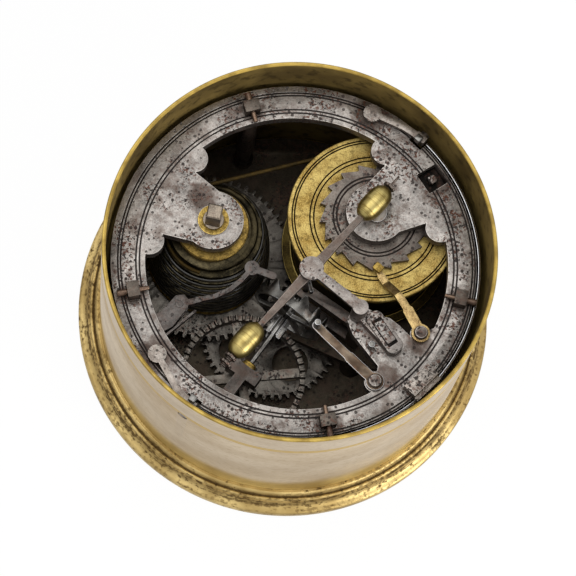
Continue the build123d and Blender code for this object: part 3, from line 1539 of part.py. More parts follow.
with BuildPart() as stop_lever:
    with BuildSketch(Plane.XY.offset(stop_blade_bottom)):
        strip_between(stop_pivot, (-23.8, -16.6), 1.6)
        strip_between((-23.8, -16.6), (-19.9, -14.6), 1.3)
        strip_between((-19.9, -14.6), (-16.3, -11.5), 1.3)
        strip_between((-16.3, -11.5), (-14.0, -8.2), 1.3)
        strip_between((-14.0, -8.2), stop_head_at, 1.3)
        with Locations(stop_pivot):
            Circle(2.2)
        with Locations(stop_head_at):
            Circle(stop_head_radius)
        with Locations(stop_pivot):
            Circle(stop_pivot_radius + running_fit, mode=Mode.SUBTRACT)
    extrude(amount=stop_blade_top - stop_blade_bottom)
    with BuildSketch(Plane.XY.offset(stop_blade_top - 1.0)):
        strip_between(stop_head_at, stop_hook, 2.0)
    extrude(amount=1.0)
stop_lever.part.label = "stop_lever"
export_step(stop_lever.part, "parts/stop_lever.step")

with BuildPart() as stop_pin:
    with BuildSketch(Plane.XY.offset(stop_top - stop_block_height)):
        with Locations(stop_pivot):
            Circle(stop_pivot_radius)
    extrude(amount=stop_block_height)
stop_pin.part.label = "stop_pin"
export_step(stop_pin.part, "parts/stop_pin.step")

with BuildPart() as stop_spring:
    with BuildSketch(Plane.XY.offset(stop_blade_bottom)):
        strip_between(polar(ring_inner_radius + 0.8, 224.0), stop_spring_knee, 0.7)
        strip_between(stop_spring_knee, (-24.3, -20.2), 0.7)
    extrude(amount=2.0)
stop_spring.part.label = "stop_spring"
export_step(stop_spring.part, "parts/stop_spring.step")

# Latches: leaf springs beside the plate, bolts through the wall, finger pieces
leaf_thickness = 0.7
leaf_bottom = back_plate_bottom + 0.1
leaf_height = plate_thickness
leaf_radius = plate_radius - leaf_cutback + 0.5
leaves = [
    arc_strip((0, 0), leaf_radius, leaf_radius + leaf_thickness, start, end) for start, end in leaf_arcs
]
with BuildPart() as latch_springs:
    with BuildSketch(Plane.XY.offset(leaf_bottom)):
        add(leaves)
    extrude(amount=leaf_height)
latch_springs.part.label = "latch_springs"
export_step(latch_springs.part, "parts/latch_springs.step")

lug_height = 3.4
lug_length = 9.4
lug_angle = -31.4
with BuildPart() as latch_lug:
    with BuildSketch(Plane.XY.offset(back_plate_top)):
        with Locations(polar(plate_radius - 3.8, lug_angle)):
            Rectangle(4.2, lug_length, rotation=lug_angle)
    extrude(amount=lug_height)
    with BuildSketch(Plane.XY.offset(leaf_bottom + leaf_height)):
        with Locations(polar(leaf_radius, lug_angle)):
            Rectangle(1.6, lug_length, rotation=lug_angle)
    extrude(amount=1.6)
latch_lug.part.label = "latch_lug"
export_step(latch_lug.part, "parts/latch_lug.step")

bolt_end = case_radius - 0.1
finger_thickness = 1.4
finger_pad_radius = 2.6


def latch_piece(angle, pad_angle, pad_radius_at):
    """Bolt, block in the plate's slot and finger piece above the plate."""
    block_radius = plate_radius - 1.0
    bolt_start = plate_radius - 1.8
    bolt_middle = polar((bolt_end + bolt_start) / 2, angle) + (latch_height,)
    knee = polar(bolt_start, (angle * 2 + pad_angle) / 3)
    with BuildPart() as latch:
        with Locations(Plane(bolt_middle, z_dir=polar(1, angle) + (0,))):
            Cylinder(latch_bolt_radius, bolt_end - bolt_start)
        with BuildSketch(Plane.XY.offset(latch_height - 1.5)):
            with Locations(polar(block_radius, angle)):
                Rectangle(2.0, 3.4, rotation=angle)
        extrude(amount=back_plate_top + bearing_gap + finger_thickness - latch_height + 1.5)
        with BuildSketch(Plane.XY.offset(back_plate_top + bearing_gap)):
            strip_between(polar(block_radius - 0.2, angle), knee, 2.0)
            strip_between(knee, polar(pad_radius_at, pad_angle), 1.8)
            with Locations(polar(pad_radius_at, pad_angle)):
                Circle(finger_pad_radius)
        extrude(amount=finger_thickness)
    return latch


latch_right = latch_piece(latch_angles[0], latch_angles[0] + 17.5, plate_radius - 3.2)
latch_right.part.label = "latch_right"
export_step(latch_right.part, "parts/latch_right.step")

latch_left = latch_piece(latch_angles[1], latch_angles[1] - 19.0, plate_radius - 4.4)
latch_left.part.label = "latch_left"
export_step(latch_left.part, "parts/latch_left.step")
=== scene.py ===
import json
import math

import bpy
from mathutils import Matrix, Vector

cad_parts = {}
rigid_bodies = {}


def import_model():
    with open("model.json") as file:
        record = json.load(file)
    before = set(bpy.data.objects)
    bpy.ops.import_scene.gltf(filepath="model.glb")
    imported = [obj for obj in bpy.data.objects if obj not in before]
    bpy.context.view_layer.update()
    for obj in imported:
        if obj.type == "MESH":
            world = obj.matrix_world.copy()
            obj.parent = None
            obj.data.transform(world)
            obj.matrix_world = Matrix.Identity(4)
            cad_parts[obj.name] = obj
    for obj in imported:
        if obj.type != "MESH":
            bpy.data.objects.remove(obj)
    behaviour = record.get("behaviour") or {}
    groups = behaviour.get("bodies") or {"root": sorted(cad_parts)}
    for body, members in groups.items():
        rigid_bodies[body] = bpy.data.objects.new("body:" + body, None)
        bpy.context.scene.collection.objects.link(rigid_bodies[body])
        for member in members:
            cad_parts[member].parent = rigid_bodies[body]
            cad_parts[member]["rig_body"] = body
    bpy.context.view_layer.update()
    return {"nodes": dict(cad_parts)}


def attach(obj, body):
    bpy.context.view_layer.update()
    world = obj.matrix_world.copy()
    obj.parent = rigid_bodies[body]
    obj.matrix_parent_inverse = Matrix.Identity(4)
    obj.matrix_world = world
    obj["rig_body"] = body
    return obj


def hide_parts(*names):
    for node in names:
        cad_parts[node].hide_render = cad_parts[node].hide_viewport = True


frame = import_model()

bpy.ops.object.select_all(action="DESELECT")
mm = 0.001


# Case: the drum wall and the moulded foot ring are turned from cast brass and gilt.
# The gilding is rubbed to a pale silvery tone outside, and stays golden at the rim.
def tint(red, green, blue):
    """Linear colour of a tone that is named by its screen values."""
    tones = [value / 255 for value in (red, green, blue)]
    return [t / 12.92 if t <= 0.04045 else ((t + 0.055) / 1.055) ** 2.4 for t in tones] + [1.0]


class Value:
    """A shader socket that adds its Math nodes when it is used in an expression."""

    def __init__(self, shading, socket):
        self.shading = shading
        self.socket = socket

    def __add__(self, other):
        return self.shading.maths("ADD", self, other)

    def __sub__(self, other):
        return self.shading.maths("SUBTRACT", self, other)

    def __rsub__(self, other):
        return self.shading.maths("SUBTRACT", other, self)

    def __mul__(self, other):
        return self.shading.maths("MULTIPLY", self, other)

    def __truediv__(self, other):
        return self.shading.maths("DIVIDE", self, other)

    def __pow__(self, other):
        return self.shading.maths("POWER", self, other)

    def __abs__(self):
        return self.shading.maths("ABSOLUTE", self, 0)

    def rise(self, low, high):
        """0 below low, 1 above high, with a soft step between them."""
        return self.shading.node(
            "ShaderNodeMapRange", {"interpolation_type": "SMOOTHSTEP"},
            {"Value": self, "From Min": low, "From Max": high},
        )

    __radd__ = __add__
    __rmul__ = __mul__


class Shading:
    """The nodes of a material or of the world."""

    def __init__(self, owner):
        owner.use_nodes = True
        self.tree = owner.node_tree
        self.tree.nodes.clear()

    def node(self, kind, settings=None, sockets=None, output=0):
        """Adds a shader node: its settings first, then its sockets' values and links."""
        made = self.tree.nodes.new(kind)
        for name, value in (settings or {}).items():
            setattr(made, name, value)
        for name, value in (sockets or {}).items():
            if isinstance(value, Value):
                self.tree.links.new(value.socket, made.inputs[name])
            else:
                made.inputs[name].default_value = value
        return Value(self, made.outputs[output]) if made.outputs else None

    def maths(self, operation, first, second):
        """Adds a Math node."""
        return self.node("ShaderNodeMath", {"operation": operation}, {0: first, 1: second})


class Finish(Shading):
    """One material. Its patterns lie in the piece's own space, in millimetres."""

    def __init__(self, name):
        self.material = bpy.data.materials.new(name)
        super().__init__(self.material)
        spot = self.node("ShaderNodeTexCoord", output="Object")
        self.spot = self.node(
            "ShaderNodeVectorMath", {"operation": "SCALE"}, {0: spot, "Scale": 1 / mm}
        )
        self.x, self.y, self.z = self.split(self.spot)
        self.up = self.split(self.node("ShaderNodeTexCoord", output="Normal"))[2]
        self.worn = self.node("ShaderNodeAttribute", {"attribute_name": "worn_edge"}, output="Fac")

    def split(self, vector):
        """The three parts of a vector."""
        return [self.node("ShaderNodeSeparateXYZ", None, {0: vector}, axis) for axis in range(3)]

    def noise(self, size, detail=2.0, stretch=(1, 1, 1), seed=0.0):
        """Cloudy pattern from 0 to 1 whose patches are about size millimetres wide."""
        spot = self.node(
            "ShaderNodeVectorMath", {"operation": "MULTIPLY_ADD"},
            {0: self.spot, 1: stretch, 2: (seed, seed, seed)},
        )
        return self.node(
            "ShaderNodeTexNoise", None, {"Vector": spot, "Scale": 1 / size, "Detail": detail}
        )

    def pits(self, spacing, size, share, seed=0.0):
        """Mask of round pits of many sizes, where a share of the spots holds one."""
        spot = self.node(
            "ShaderNodeVectorMath", {"operation": "MULTIPLY_ADD"},
            {0: self.spot, 1: (1, 1, 1), 2: (seed, seed, seed)},
        )
        sockets = {"Vector": spot, "Scale": 1 / spacing}
        distance = self.node("ShaderNodeTexVoronoi", None, sockets)
        chance = self.split(self.node("ShaderNodeTexVoronoi", None, sockets, 1))[0]
        radius = chance.rise(1 - share, 1) * size / spacing
        return (radius - distance).rise(0, 0.12)

    def mix(self, share, first, second):
        """Colour between two colours."""
        return self.node(
            "ShaderNodeMix", {"data_type": "RGBA"}, {0: share, 6: first, 7: second}, 2
        )

    def reach(self, centre=(0, 0)):
        """Distance in plan from an upright axis."""
        x = self.x - centre[0]
        y = self.y - centre[1]
        return (x * x + y * y) ** 0.5

    def circles(self, centre, radii, width=0.36):
        """Mask of circles engraved about an upright axis, on faces that look up."""
        reach = self.reach(centre)
        mask = None
        for radius in radii:
            line = 1 - abs(reach - radius).rise(width * 0.3, width * 0.7)
            mask = line if mask is None else mask + line
        return mask * self.up.rise(0.5, 0.8)

    def metal(self, colour, roughness, metallic=1.0, height=None, depth=0.05):
        """Joins the patterns in a metal surface with relief that is depth millimetres deep."""
        sockets = {"Base Color": colour, "Roughness": roughness, "Metallic": metallic}
        if height is not None:
            sockets["Normal"] = self.node(
                "ShaderNodeBump", None, {"Height": height, "Distance": depth * mm, "Strength": 1.0}
            )
        shader = self.node("ShaderNodeBsdfPrincipled", None, sockets)
        self.node("ShaderNodeOutputMaterial", None, {"Surface": shader})
        return self.material


case_radius = 55.0
case_wall = 1.2
case_top = 70.0
wall_seat = 5.2
foot_radius = 61.4
foot_height = 8.5
line_height = 57.4
line_apart = 0.6
latch_angles = {"latch_right": 60.5, "latch_left": 248.5}
bolt_height = 55.7
bolt_hole = 1.6


def worn_gilding(name):
    """Rubbed gilding: pale outside, gold where unrubbed, with painted reflections: gold low down,
    dark inside.
    """
    coat = Finish(name)
    reach = coat.reach()
    outside = reach.rise(case_radius - 0.75, case_radius - 0.45)
    rim = coat.z.rise(case_top - 0.75, case_top - 0.35) * coat.up.rise(-0.2, 0.25)
    streaks = coat.noise(18, 4, (0.6, 0.6, 1.5))
    scratches = coat.noise(0.8, 4, (0.4, 0.4, 1.6), 9.0)
    clouds = coat.noise(16, 3, seed=4.0)
    pale = coat.mix(streaks.rise(0.25, 0.75), tint(178, 160, 134), tint(202, 187, 164))
    gold = coat.mix(clouds.rise(0.3, 0.7), tint(158, 130, 70), tint(204, 178, 112))
    # Gold towards the foot is a painted reflection of the gilt foot; streaks and clouds add the real
    # rubbing.
    rubbing_and_reflection = (coat.z.rise(9, 26) * 0.9 + streaks * 0.3 + clouds * 0.3).rise(0.45, 1.05)
    wall = coat.mix(rubbing_and_reflection, gold, pale)
    wall = coat.mix(scratches.rise(0.50, 0.70) * 0.35, wall, tint(142, 120, 84))
    nicks = coat.noise(1.1, 3, (0.6, 0.6, 3), 17.0).rise(0.67, 0.75)
    wall = coat.mix(nicks * 0.5, wall, tint(86, 66, 40))
    band = 1 - abs(abs(coat.z - line_height) - line_apart).rise(0.25, 0.7)
    wall = coat.mix(band * streaks.rise(0.2, 0.5) * 0.9, wall, tint(186, 156, 80))
    # Inside, olive with darker blotches: a painted reflection of the dark movement on the wall.
    inside_reflection = coat.mix(clouds.rise(0.35, 0.65), tint(98, 82, 48), tint(136, 116, 68))
    inside_blotches = coat.noise(3, 3, seed=2.0).rise(0.5, 0.7)
    inside_reflection = coat.mix(inside_blotches * 0.6, inside_reflection, tint(52, 42, 24))
    colour = coat.mix(outside, inside_reflection, wall)
    rubbed = coat.noise(5, 5, seed=21.0).rise(0.35, 0.65)
    bright = coat.mix(rubbed, tint(142, 119, 62), tint(178, 153, 82))
    colour = coat.mix(rim, colour, bright)
    rough = 0.42 + scratches * 0.2 + (1 - outside) * 0.2
    return coat.metal(colour, rough, 1.0, scratches * 0.6 + coat.noise(0.6, 2) * 0.4, 0.02)


def moulded_gilding(name):
    """Gilding on the mouldings of the foot: tarnish sits in the hollows."""
    coat = Finish(name)
    reach = coat.reach()
    clouds = coat.noise(12, 4, seed=6.0)
    streaks = coat.noise(7, 3, (0.4, 0.4, 8), 3.0)
    gold = coat.mix(clouds.rise(0.35, 0.65), tint(158, 134, 84), tint(204, 180, 122))
    hollow = 1 - abs(reach - (foot_radius - 2.7)).rise(0.2, 1.2)
    turning = coat.noise(0.5, 3, (0.04, 0.04, 1), 30.0) * 0.5 + coat.noise(1.2, 5, seed=31.0) * 0.5
    crevice = 1 - abs(reach - (foot_radius - 4.5)).rise(0.1, 0.5)
    specks = coat.noise(0.9, 3, (0.5, 0.5, 1.6), 12.0).rise(0.56, 0.68)
    dirt = (hollow * 0.4 + crevice * 0.9) * (0.4 + streaks) + clouds.rise(0.50, 0.7) * 0.35
    dirt = dirt + turning.rise(0.48, 0.60) * 0.5 + specks * 0.5
    colour = coat.mix(dirt.rise(0.1, 0.95) * 0.9, gold, tint(84, 64, 36))
    rough = 0.44 + dirt * 0.25 + streaks * 0.1
    return coat.metal(colour, rough, 1.0, streaks, 0.02)


def settle(piece, node, material):
    """Gives a piece its finish and puts it in the place of a piece of the frame."""
    piece.data.materials.clear()
    piece.data.materials.append(material)
    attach(piece, frame["nodes"][node]["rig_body"])
    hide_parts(node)
    return piece


def turned(name, centre, profile, steps=128, hollow=False):
    """Turned piece: a ring drawn out along (radius, height) points, back to its start if hollow."""
    x, y = centre[0] * mm, centre[1] * mm
    radius, height = profile[0]
    bpy.ops.mesh.primitive_circle_add(
        vertices=steps, radius=radius * mm, location=(x, y, height * mm)
    )
    piece = bpy.context.object
    piece.name = name
    bpy.ops.object.transform_apply(location=True, rotation=True, scale=True)
    bpy.ops.object.mode_set(mode="EDIT")
    bpy.ops.mesh.select_all(action="SELECT")
    for (radius, height), (next_radius, next_height) in zip(profile, profile[1:]):
        bpy.ops.mesh.extrude_region_move(
            TRANSFORM_OT_translate={"value": (0, 0, (next_height - height) * mm)}
        )
        growth = next_radius / radius
        bpy.ops.transform.resize(
            value=(growth, growth, 1), center_override=(x, y, next_height * mm)
        )
    bpy.ops.mesh.select_all(action="SELECT")
    if hollow:
        bpy.ops.mesh.remove_doubles(threshold=0.001 * mm)
    else:
        bpy.ops.mesh.fill_holes(sides=0)
    bpy.ops.mesh.select_all(action="SELECT")
    bpy.ops.mesh.normals_make_consistent(inside=False)
    bpy.ops.object.mode_set(mode="OBJECT")
    bpy.ops.object.shade_smooth_by_angle(angle=math.radians(40))
    piece.select_set(False)
    return piece


def bend(start, middle, end, count=6):
    """Points on an even curve through three points of a profile, without its start."""
    points = []
    for step in range(1, count + 1):
        t = step / count
        shares = ((1 - t) * (1 - 2 * t), 4 * t * (1 - t), t * (2 * t - 1))
        points.append(tuple(
            shares[0] * a + shares[1] * b + shares[2] * c for a, b, c in zip(start, middle, end)
        ))
    return points


def groove(radius, height, width, depth):
    """Points of a cut line on an upright wall, met from below."""
    return [
        (radius, height - width / 2), (radius - depth, height), (radius, height + width / 2)
    ]


wall_inside = case_radius - case_wall
rim_round = 0.45
drum_wall = turned(
    "drum_wall", (0, 0),
    [(wall_inside, wall_seat), (case_radius, wall_seat)]
    + groove(case_radius, foot_height + 1.2, 0.3, 0.12)
    + groove(case_radius, line_height - line_apart, 0.32, 0.12)
    + groove(case_radius, line_height + line_apart, 0.32, 0.12)
    + [(case_radius, case_top - rim_round)]
    + bend(
        (case_radius, case_top - rim_round),
        (case_radius - 0.15, case_top - 0.12),
        (case_radius - rim_round, case_top), 4,
    )
    + [(wall_inside + rim_round, case_top)]
    + bend(
        (wall_inside + rim_round, case_top),
        (wall_inside + 0.12, case_top - 0.12),
        (wall_inside, case_top - rim_round), 4,
    )
    + [(wall_inside, wall_seat)],
    256, True,
)
for angle in latch_angles.values():
    direction = Vector((math.cos(math.radians(angle)), math.sin(math.radians(angle)), 0))
    bpy.ops.mesh.primitive_cylinder_add(
        vertices=48, radius=bolt_hole * mm, depth=7 * mm,
        location=(direction * case_radius + Vector((0, 0, bolt_height))) * mm,
        rotation=(0, math.pi / 2, math.radians(angle)),
    )
    drill = bpy.context.object
    cut = drum_wall.modifiers.new("bolt_hole", "BOOLEAN")
    cut.operation = "DIFFERENCE"
    cut.solver = "EXACT"
    cut.object = drill
    drill.select_set(False)
    drum_wall.select_set(True)
    bpy.context.view_layer.objects.active = drum_wall
    bpy.ops.object.modifier_apply(modifier="bolt_hole")
    drum_wall.select_set(False)
    bpy.data.objects.remove(drill)
settle(drum_wall, "case_drum", worn_gilding("worn_gilding"))

foot_inside = 50.5
ledge_inside = 52.7
ledge_height = 3.6
foot_ring = turned(
    "foot_ring", (0, 0),
    [
        (foot_inside, 0.6), (foot_inside + 0.6, 0.02), (foot_radius - 0.8, 0.02),
        (foot_radius - 0.35, 0.25), (foot_radius - 0.05, 1.0), (foot_radius - 0.02, 3.0),
    ]
    + bend((foot_radius - 0.02, 3.0), (foot_radius - 0.3, 3.7), (foot_radius - 1.0, 4.1))
    + bend((foot_radius - 1.0, 4.1), (foot_radius - 2.3, 4.9), (foot_radius - 2.9, 6.4), 8)
    + [(foot_radius - 3.2, 6.4)]
    + bend((foot_radius - 3.2, 6.4), (foot_radius - 3.7, 7.1), (foot_radius - 4.4, 6.9))
    + [(foot_radius - 4.8, 7.3)]
    + bend(
        (foot_radius - 4.8, 7.3), (foot_radius - 5.2, foot_height - 0.2),
        (foot_radius - 5.8, foot_height),
    )
    + [
        (case_radius + 0.05, foot_height), (case_radius + 0.05, wall_seat),
        (ledge_inside, wall_seat), (ledge_inside, ledge_height), (foot_inside, ledge_height),
        (foot_inside, 0.6),
    ],
    256, True,
)
settle(foot_ring, "case_foot_ring", moulded_gilding("moulded_gilding"))


# Seat ring: a plain brass ring soldered inside the wall, on which the movement rests.
# No hand reaches it once the clock is together, so it keeps its tarnish; its dark tone is also
# painted shade deep in the case.
def aged_brass(name, light, dark, patch=6.0, rough=0.42, circles=(), centre=(0, 0)):
    """Brass with brown clouds and fine dark specks, and engraved circles where given."""
    coat = Finish(name)
    clouds = coat.noise(patch, 4)
    specks = coat.noise(1.2, 5, seed=5.0)
    grain = coat.noise(0.35, 3, seed=8.0)
    colour = coat.mix(clouds.rise(0.3, 0.7), tint(*dark), tint(*light))
    colour = coat.mix(specks.rise(0.50, 0.66) * 0.5, colour, tint(*[tone * 0.55 for tone in dark]))
    colour = coat.mix(grain.rise(0.45, 0.7) * 0.5, colour, tint(*light))
    colour = coat.mix(grain.rise(0.55, 0.40) * 0.35, colour, tint(*[tone * 0.6 for tone in dark]))
    colour = coat.mix(coat.worn * 0.6, colour, tint(236, 208, 128))
    height = clouds * 0.3 + specks * 0.4 + grain * 0.3
    if circles:
        lines = coat.circles(centre, circles)
        colour = coat.mix(lines.rise(0, 0.8), colour, tint(22, 17, 10))
        height = height - lines * 2.0
    return coat.metal(colour, rough + specks * 0.2 - coat.worn * 0.1, 1.0, height, 0.04)


def eased(node, width=0.15, corner=35):
    """Copy of a piece of the frame with its sharp edges rubbed round, and marked as worn."""
    piece = bpy.data.objects.new(node + "_finished", frame["nodes"][node].data.copy())
    bpy.context.scene.collection.objects.link(piece)
    piece.select_set(True)
    bpy.context.view_layer.objects.active = piece
    piece.data.materials.clear()
    for name in ("face", "edge"):
        piece.data.materials.append(bpy.data.materials.new(name))
    bpy.ops.mesh.customdata_custom_splitnormals_clear()
    bpy.ops.object.mode_set(mode="EDIT")
    bpy.ops.mesh.select_all(action="SELECT")
    bpy.ops.mesh.remove_doubles(threshold=0.002 * mm)
    bpy.ops.mesh.dissolve_limited(angle_limit=math.radians(0.6))
    bpy.ops.object.mode_set(mode="OBJECT")
    rounding = piece.modifiers.new("rounding", "BEVEL")
    rounding.width = width * mm
    rounding.segments = 2
    rounding.limit_method = "ANGLE"
    rounding.angle_limit = math.radians(corner)
    rounding.material = 1
    bpy.ops.object.modifier_apply(modifier="rounding")
    worn = piece.data.attributes.new("worn_edge", "FLOAT", "FACE")
    worn.data.foreach_set("value", [float(face.material_index) for face in piece.data.polygons])
    for face in piece.data.polygons:
        face.material_index = 0
    bpy.ops.object.shade_smooth_by_angle(angle=math.radians(corner))
    piece.select_set(False)
    return piece


tarnish_and_shade = aged_brass("tarnish_and_shade_brass", (112, 94, 52), (66, 54, 30))
settle(eased("case_seat_ring"), "case_seat_ring", tarnish_and_shade)


# Dial side: gilt dial plate, chapter ring with twelve touch pins, blued hand.
# All of it faces the table; the hand turns with the hour wheel.
dial_gilt = aged_brass("dial_gilt", (206, 170, 84), (158, 126, 62), 10, 0.36, (30.0, 31.0, 49.0))
for node in ("dial_plate", "chapter_ring", "touch_pins"):
    settle(eased(node, 0.1), node, dial_gilt)


def steel(name, light, dark, rough=0.3, rust=0.0):
    """Filed and polished steel with a faint grain, and brown marks where it has rust."""
    coat = Finish(name)
    clouds = coat.noise(4, 3)
    grain = coat.noise(0.3, 2, seed=3.0)
    stain = coat.noise(2.4, 4, seed=7.0).rise(0.52, 0.7) * rust
    colour = coat.mix(clouds.rise(0.3, 0.7), tint(*dark), tint(*light))
    colour = coat.mix(stain, colour, tint(104, 74, 50))
    colour = coat.mix(coat.worn * 0.6, colour, tint(226, 226, 228))
    rough = rough + grain * 0.15 + stain * 0.3
    return coat.metal(colour, rough, 1.0 - stain * 0.5, clouds * 0.3 + grain * 0.7, 0.03)


blued = steel("blued_steel", (62, 78, 120), (38, 46, 84), 0.25)
settle(eased("hour_hand", 0.12), "hour_hand", blued)


# Front plate and pillars: forged iron, filed flat, the pillars turned and riveted in.
# Deep in the drum the iron is painted dark, as the shade there, and has fine rust.
def iron(name, shade, rust=0.4, pits=0.6, circles=(), centre=(0, 0), rough=0.42, shadow_and_rust_spots=()):
    """Old iron: grey clouds, swarms of black pits, brown rust, worn edges, painted shadow and rust at
    (x, y, size).
    """
    coat = Finish(name)
    clouds = coat.noise(8, 5)
    small = coat.noise(1.6, 3, seed=2.0)
    grain = coat.noise(0.35, 2, seed=4.0)
    swarm = coat.noise(10, 4, seed=11.0).rise(0.46, 0.62)
    holes = coat.noise(1.0, 4, seed=6.0).rise(0.57, 0.64) * swarm * pits
    holes = holes + coat.pits(1.15, 0.55, 0.55, 6.0) * (0.6 + swarm) * pits
    flecks = coat.noise(0.55, 2.0, seed=15.0).rise(0.60, 0.68) * (0.2 + swarm) * pits
    stain = coat.noise(5, 5, seed=9.0).rise(0.50, 0.68) * rust
    blots = coat.noise(0.9, 4, seed=13.0).rise(0.53, 0.60) * (0.25 + swarm) * rust * 1.2
    low = tint(*[tone * 0.72 for tone in shade])
    high = tint(*[min(255, tone * 1.2) for tone in shade])
    colour = coat.mix((clouds * 0.6 + small * 0.4).rise(0.3, 0.7), low, high)
    colour = coat.mix(grain.rise(0.45, 0.65) * 0.4, colour, high)
    colour = coat.mix(grain.rise(0.5, 0.35) * 0.35, colour, low)
    colour = coat.mix(stain * 0.7, colour, tint(92, 70, 56))
    # Dark patches round parts on the plate: painted shadow of those parts, mixed with rust.
    for x, y, size in shadow_and_rust_spots:
        patch = 1 - (coat.reach((x, y)) + small * 3 - 1.5).rise(size * 0.7, size * 1.4)
        colour = coat.mix(patch * 0.75, colour, tint(62, 48, 40))
    colour = coat.mix(blots, colour, tint(82, 50, 36))
    colour = coat.mix((1 - coat.up.rise(0.1, 0.5)) * rust * 0.8, colour, tint(56, 44, 38))
    colour = coat.mix(coat.worn * 0.7, colour, tint(*[min(255, tone * 1.4) for tone in shade]))
    marks = (holes + flecks).rise(0.1, 0.8)
    colour = coat.mix(marks * 0.85, colour, tint(38, 28, 24))
    height = small * 0.3 + grain * 0.3 - marks * 1.5 - blots * 0.4
    if circles:
        lines = coat.circles(centre, circles, 0.42) * (0.6 + small * 0.8)
        colour = coat.mix(lines.rise(0, 0.8) * 0.95, colour, tint(24, 20, 18))
        height = height - lines * 2.0
    metallic = 1 - marks * 0.6 - stain * 0.5 - blots * 0.5
    rough = rough + marks * 0.3 + stain * 0.2 - coat.worn * 0.1
    return coat.metal(colour, rough, metallic, height, 0.05)


shaded_deep_iron = iron("shaded_deep_iron", (66, 60, 51), 0.4, 0.8, rough=0.55)
settle(eased("front_plate"), "front_plate", shaded_deep_iron)
tenon_iron = iron("tenon_iron", (74, 68, 62), 0.5, 0.6)
settle(eased("frame_pillars", 0.55), "frame_pillars", tenon_iron)


# Hour work, between the front plate and the dial: an iron wheel on a riveted stud,
# and the steel pinion on the great wheel's pipe that drives it.
# Wheels and pinions deep in the movement are painted dark, as the shade that falls there.
shaded_wheel_iron = iron("shaded_wheel_iron", (92, 88, 82), 0.2, 0.8, rough=0.4)
shaded_arbor_steel = steel("shaded_arbor_steel", (112, 110, 106), (70, 68, 64), 0.35, 0.3)
settle(eased("hour_wheel", 0.08), "hour_wheel", shaded_wheel_iron)
for node in ("hour_pinion", "hour_stud"):
    settle(eased(node, 0.08), node, shaded_arbor_steel)


# Barrel: brass drum with a snapped-in cap, mainspring and arbor inside.
# The cap is gilt and engraved with two pairs of circles.
barrel_axis = (18.2, 20.0)
drum_brass = aged_brass("drum_brass", (92, 78, 40), (50, 41, 22), 5, 0.45)
cap_gilt = aged_brass(
    "cap_gilt", (194, 172, 106), (142, 114, 56), 5, 0.5, (22.8, 23.5, 17.3, 18.4), barrel_axis
)
settle(eased("barrel_drum"), "barrel_drum", drum_brass)
settle(eased("barrel_cap", 0.2), "barrel_cap", cap_gilt)
spring_steel = steel("spring_steel", (118, 120, 128), (80, 82, 90), 0.3, 0.2)
settle(eased("mainspring", 0.1), "mainspring", spring_steel)
bright_arbor = steel("bright_arbor", (150, 145, 138), (104, 97, 90), 0.3, 0.3)
settle(eased("barrel_arbor", 0.1), "barrel_arbor", bright_arbor)


# Set-up ratchet: iron wheel on the barrel arbor's square, with filed saw teeth.
# Two circles are cut into its face.
ratchet_iron = iron("ratchet_iron", (92, 86, 80), 0.5, 1.0, (10.9, 11.9), barrel_axis)
settle(eased("setup_ratchet", 0.12), "setup_ratchet", ratchet_iron)


# Fusee: brass cone with a spiral groove for the line, wide at its foot.
# The arbor ends in a winding square above the back plate.
fusee_axis = (-25.8, 5.7)
line_pitch = 2.5
line_top = 45.9
line_turns = 9
line_start = 200.0
groove_depth = 1.2
groove_half_share = 0.36
cone_bottom = 22.5
cone_shoulder = 49.6
cone_top = 50.0
ridge_widest = 17.8
ridge_narrowing = 5.9
narrowing_height = 7.0


def ridge_radius(height):
    """Radius of the cone's ridges at a height."""
    return ridge_widest - ridge_narrowing * math.exp(-(cone_top - height) / narrowing_height)


def cone_radius(height, angle):
    """Radius of the grooved cone: a round-bottomed groove runs down it as a spiral."""
    turn = (line_top - height) / line_pitch - (angle - line_start) / 360.0
    offset = (turn + 0.5) % 1.0 - 0.5
    if abs(offset) >= groove_half_share:
        return ridge_radius(height)
    return ridge_radius(height) - groove_depth * math.sqrt(1 - (offset / groove_half_share) ** 2)


around = 180
rows = 220
bpy.ops.mesh.primitive_grid_add(x_subdivisions=around, y_subdivisions=rows, size=1.0)
fusee = bpy.context.object
fusee.name = "fusee_grooved_cone"
for vertex in fusee.data.vertices:
    angle = (vertex.co.x + 0.5) * 360.0
    height = cone_bottom + (vertex.co.y + 0.5) * (cone_shoulder - cone_bottom)
    radius = cone_radius(height, angle)
    vertex.co = Vector((
        fusee_axis[0] + radius * math.cos(math.radians(angle)),
        fusee_axis[1] + radius * math.sin(math.radians(angle)), height,
    )) * mm
bpy.ops.object.mode_set(mode="EDIT")
bpy.ops.mesh.select_all(action="SELECT")
bpy.ops.mesh.remove_doubles(threshold=0.001 * mm)
bpy.ops.mesh.fill_holes(sides=0)
bpy.ops.mesh.select_all(action="SELECT")
bpy.ops.mesh.normals_make_consistent(inside=False)
bpy.ops.object.mode_set(mode="OBJECT")
bpy.ops.object.shade_smooth_by_angle(angle=math.radians(50))
fusee.select_set(False)
fusee_bore = 2.95
fusee_edge = 0.3
foot_low = 21.6
foot_high = 22.7
fusee_foot = turned(
    "fusee_foot", fusee_axis,
    [
        (fusee_bore, foot_low), (ridge_widest - fusee_edge, foot_low),
        (ridge_widest, foot_low + fusee_edge), (ridge_widest, foot_high - fusee_edge),
        (ridge_widest - fusee_edge, foot_high), (fusee_bore, foot_high), (fusee_bore, foot_low),
    ],
    160, True,
)
head_low = 49.4
head_high = 52.0
head_radius = 10.4
recess_radius = 4.3
fusee_head = turned(
    "fusee_head", fusee_axis,
    [
        (fusee_bore, head_low), (head_radius - 0.4, head_low), (head_radius - 0.2, head_low + 0.4),
        (head_radius, head_high - 0.8), (head_radius, head_high - fusee_edge),
        (head_radius - fusee_edge, head_high), (recess_radius + fusee_edge, head_high),
        (recess_radius, head_high - fusee_edge), (fusee_bore, head_high - fusee_edge),
        (fusee_bore, head_low),
    ],
    160, True,
)
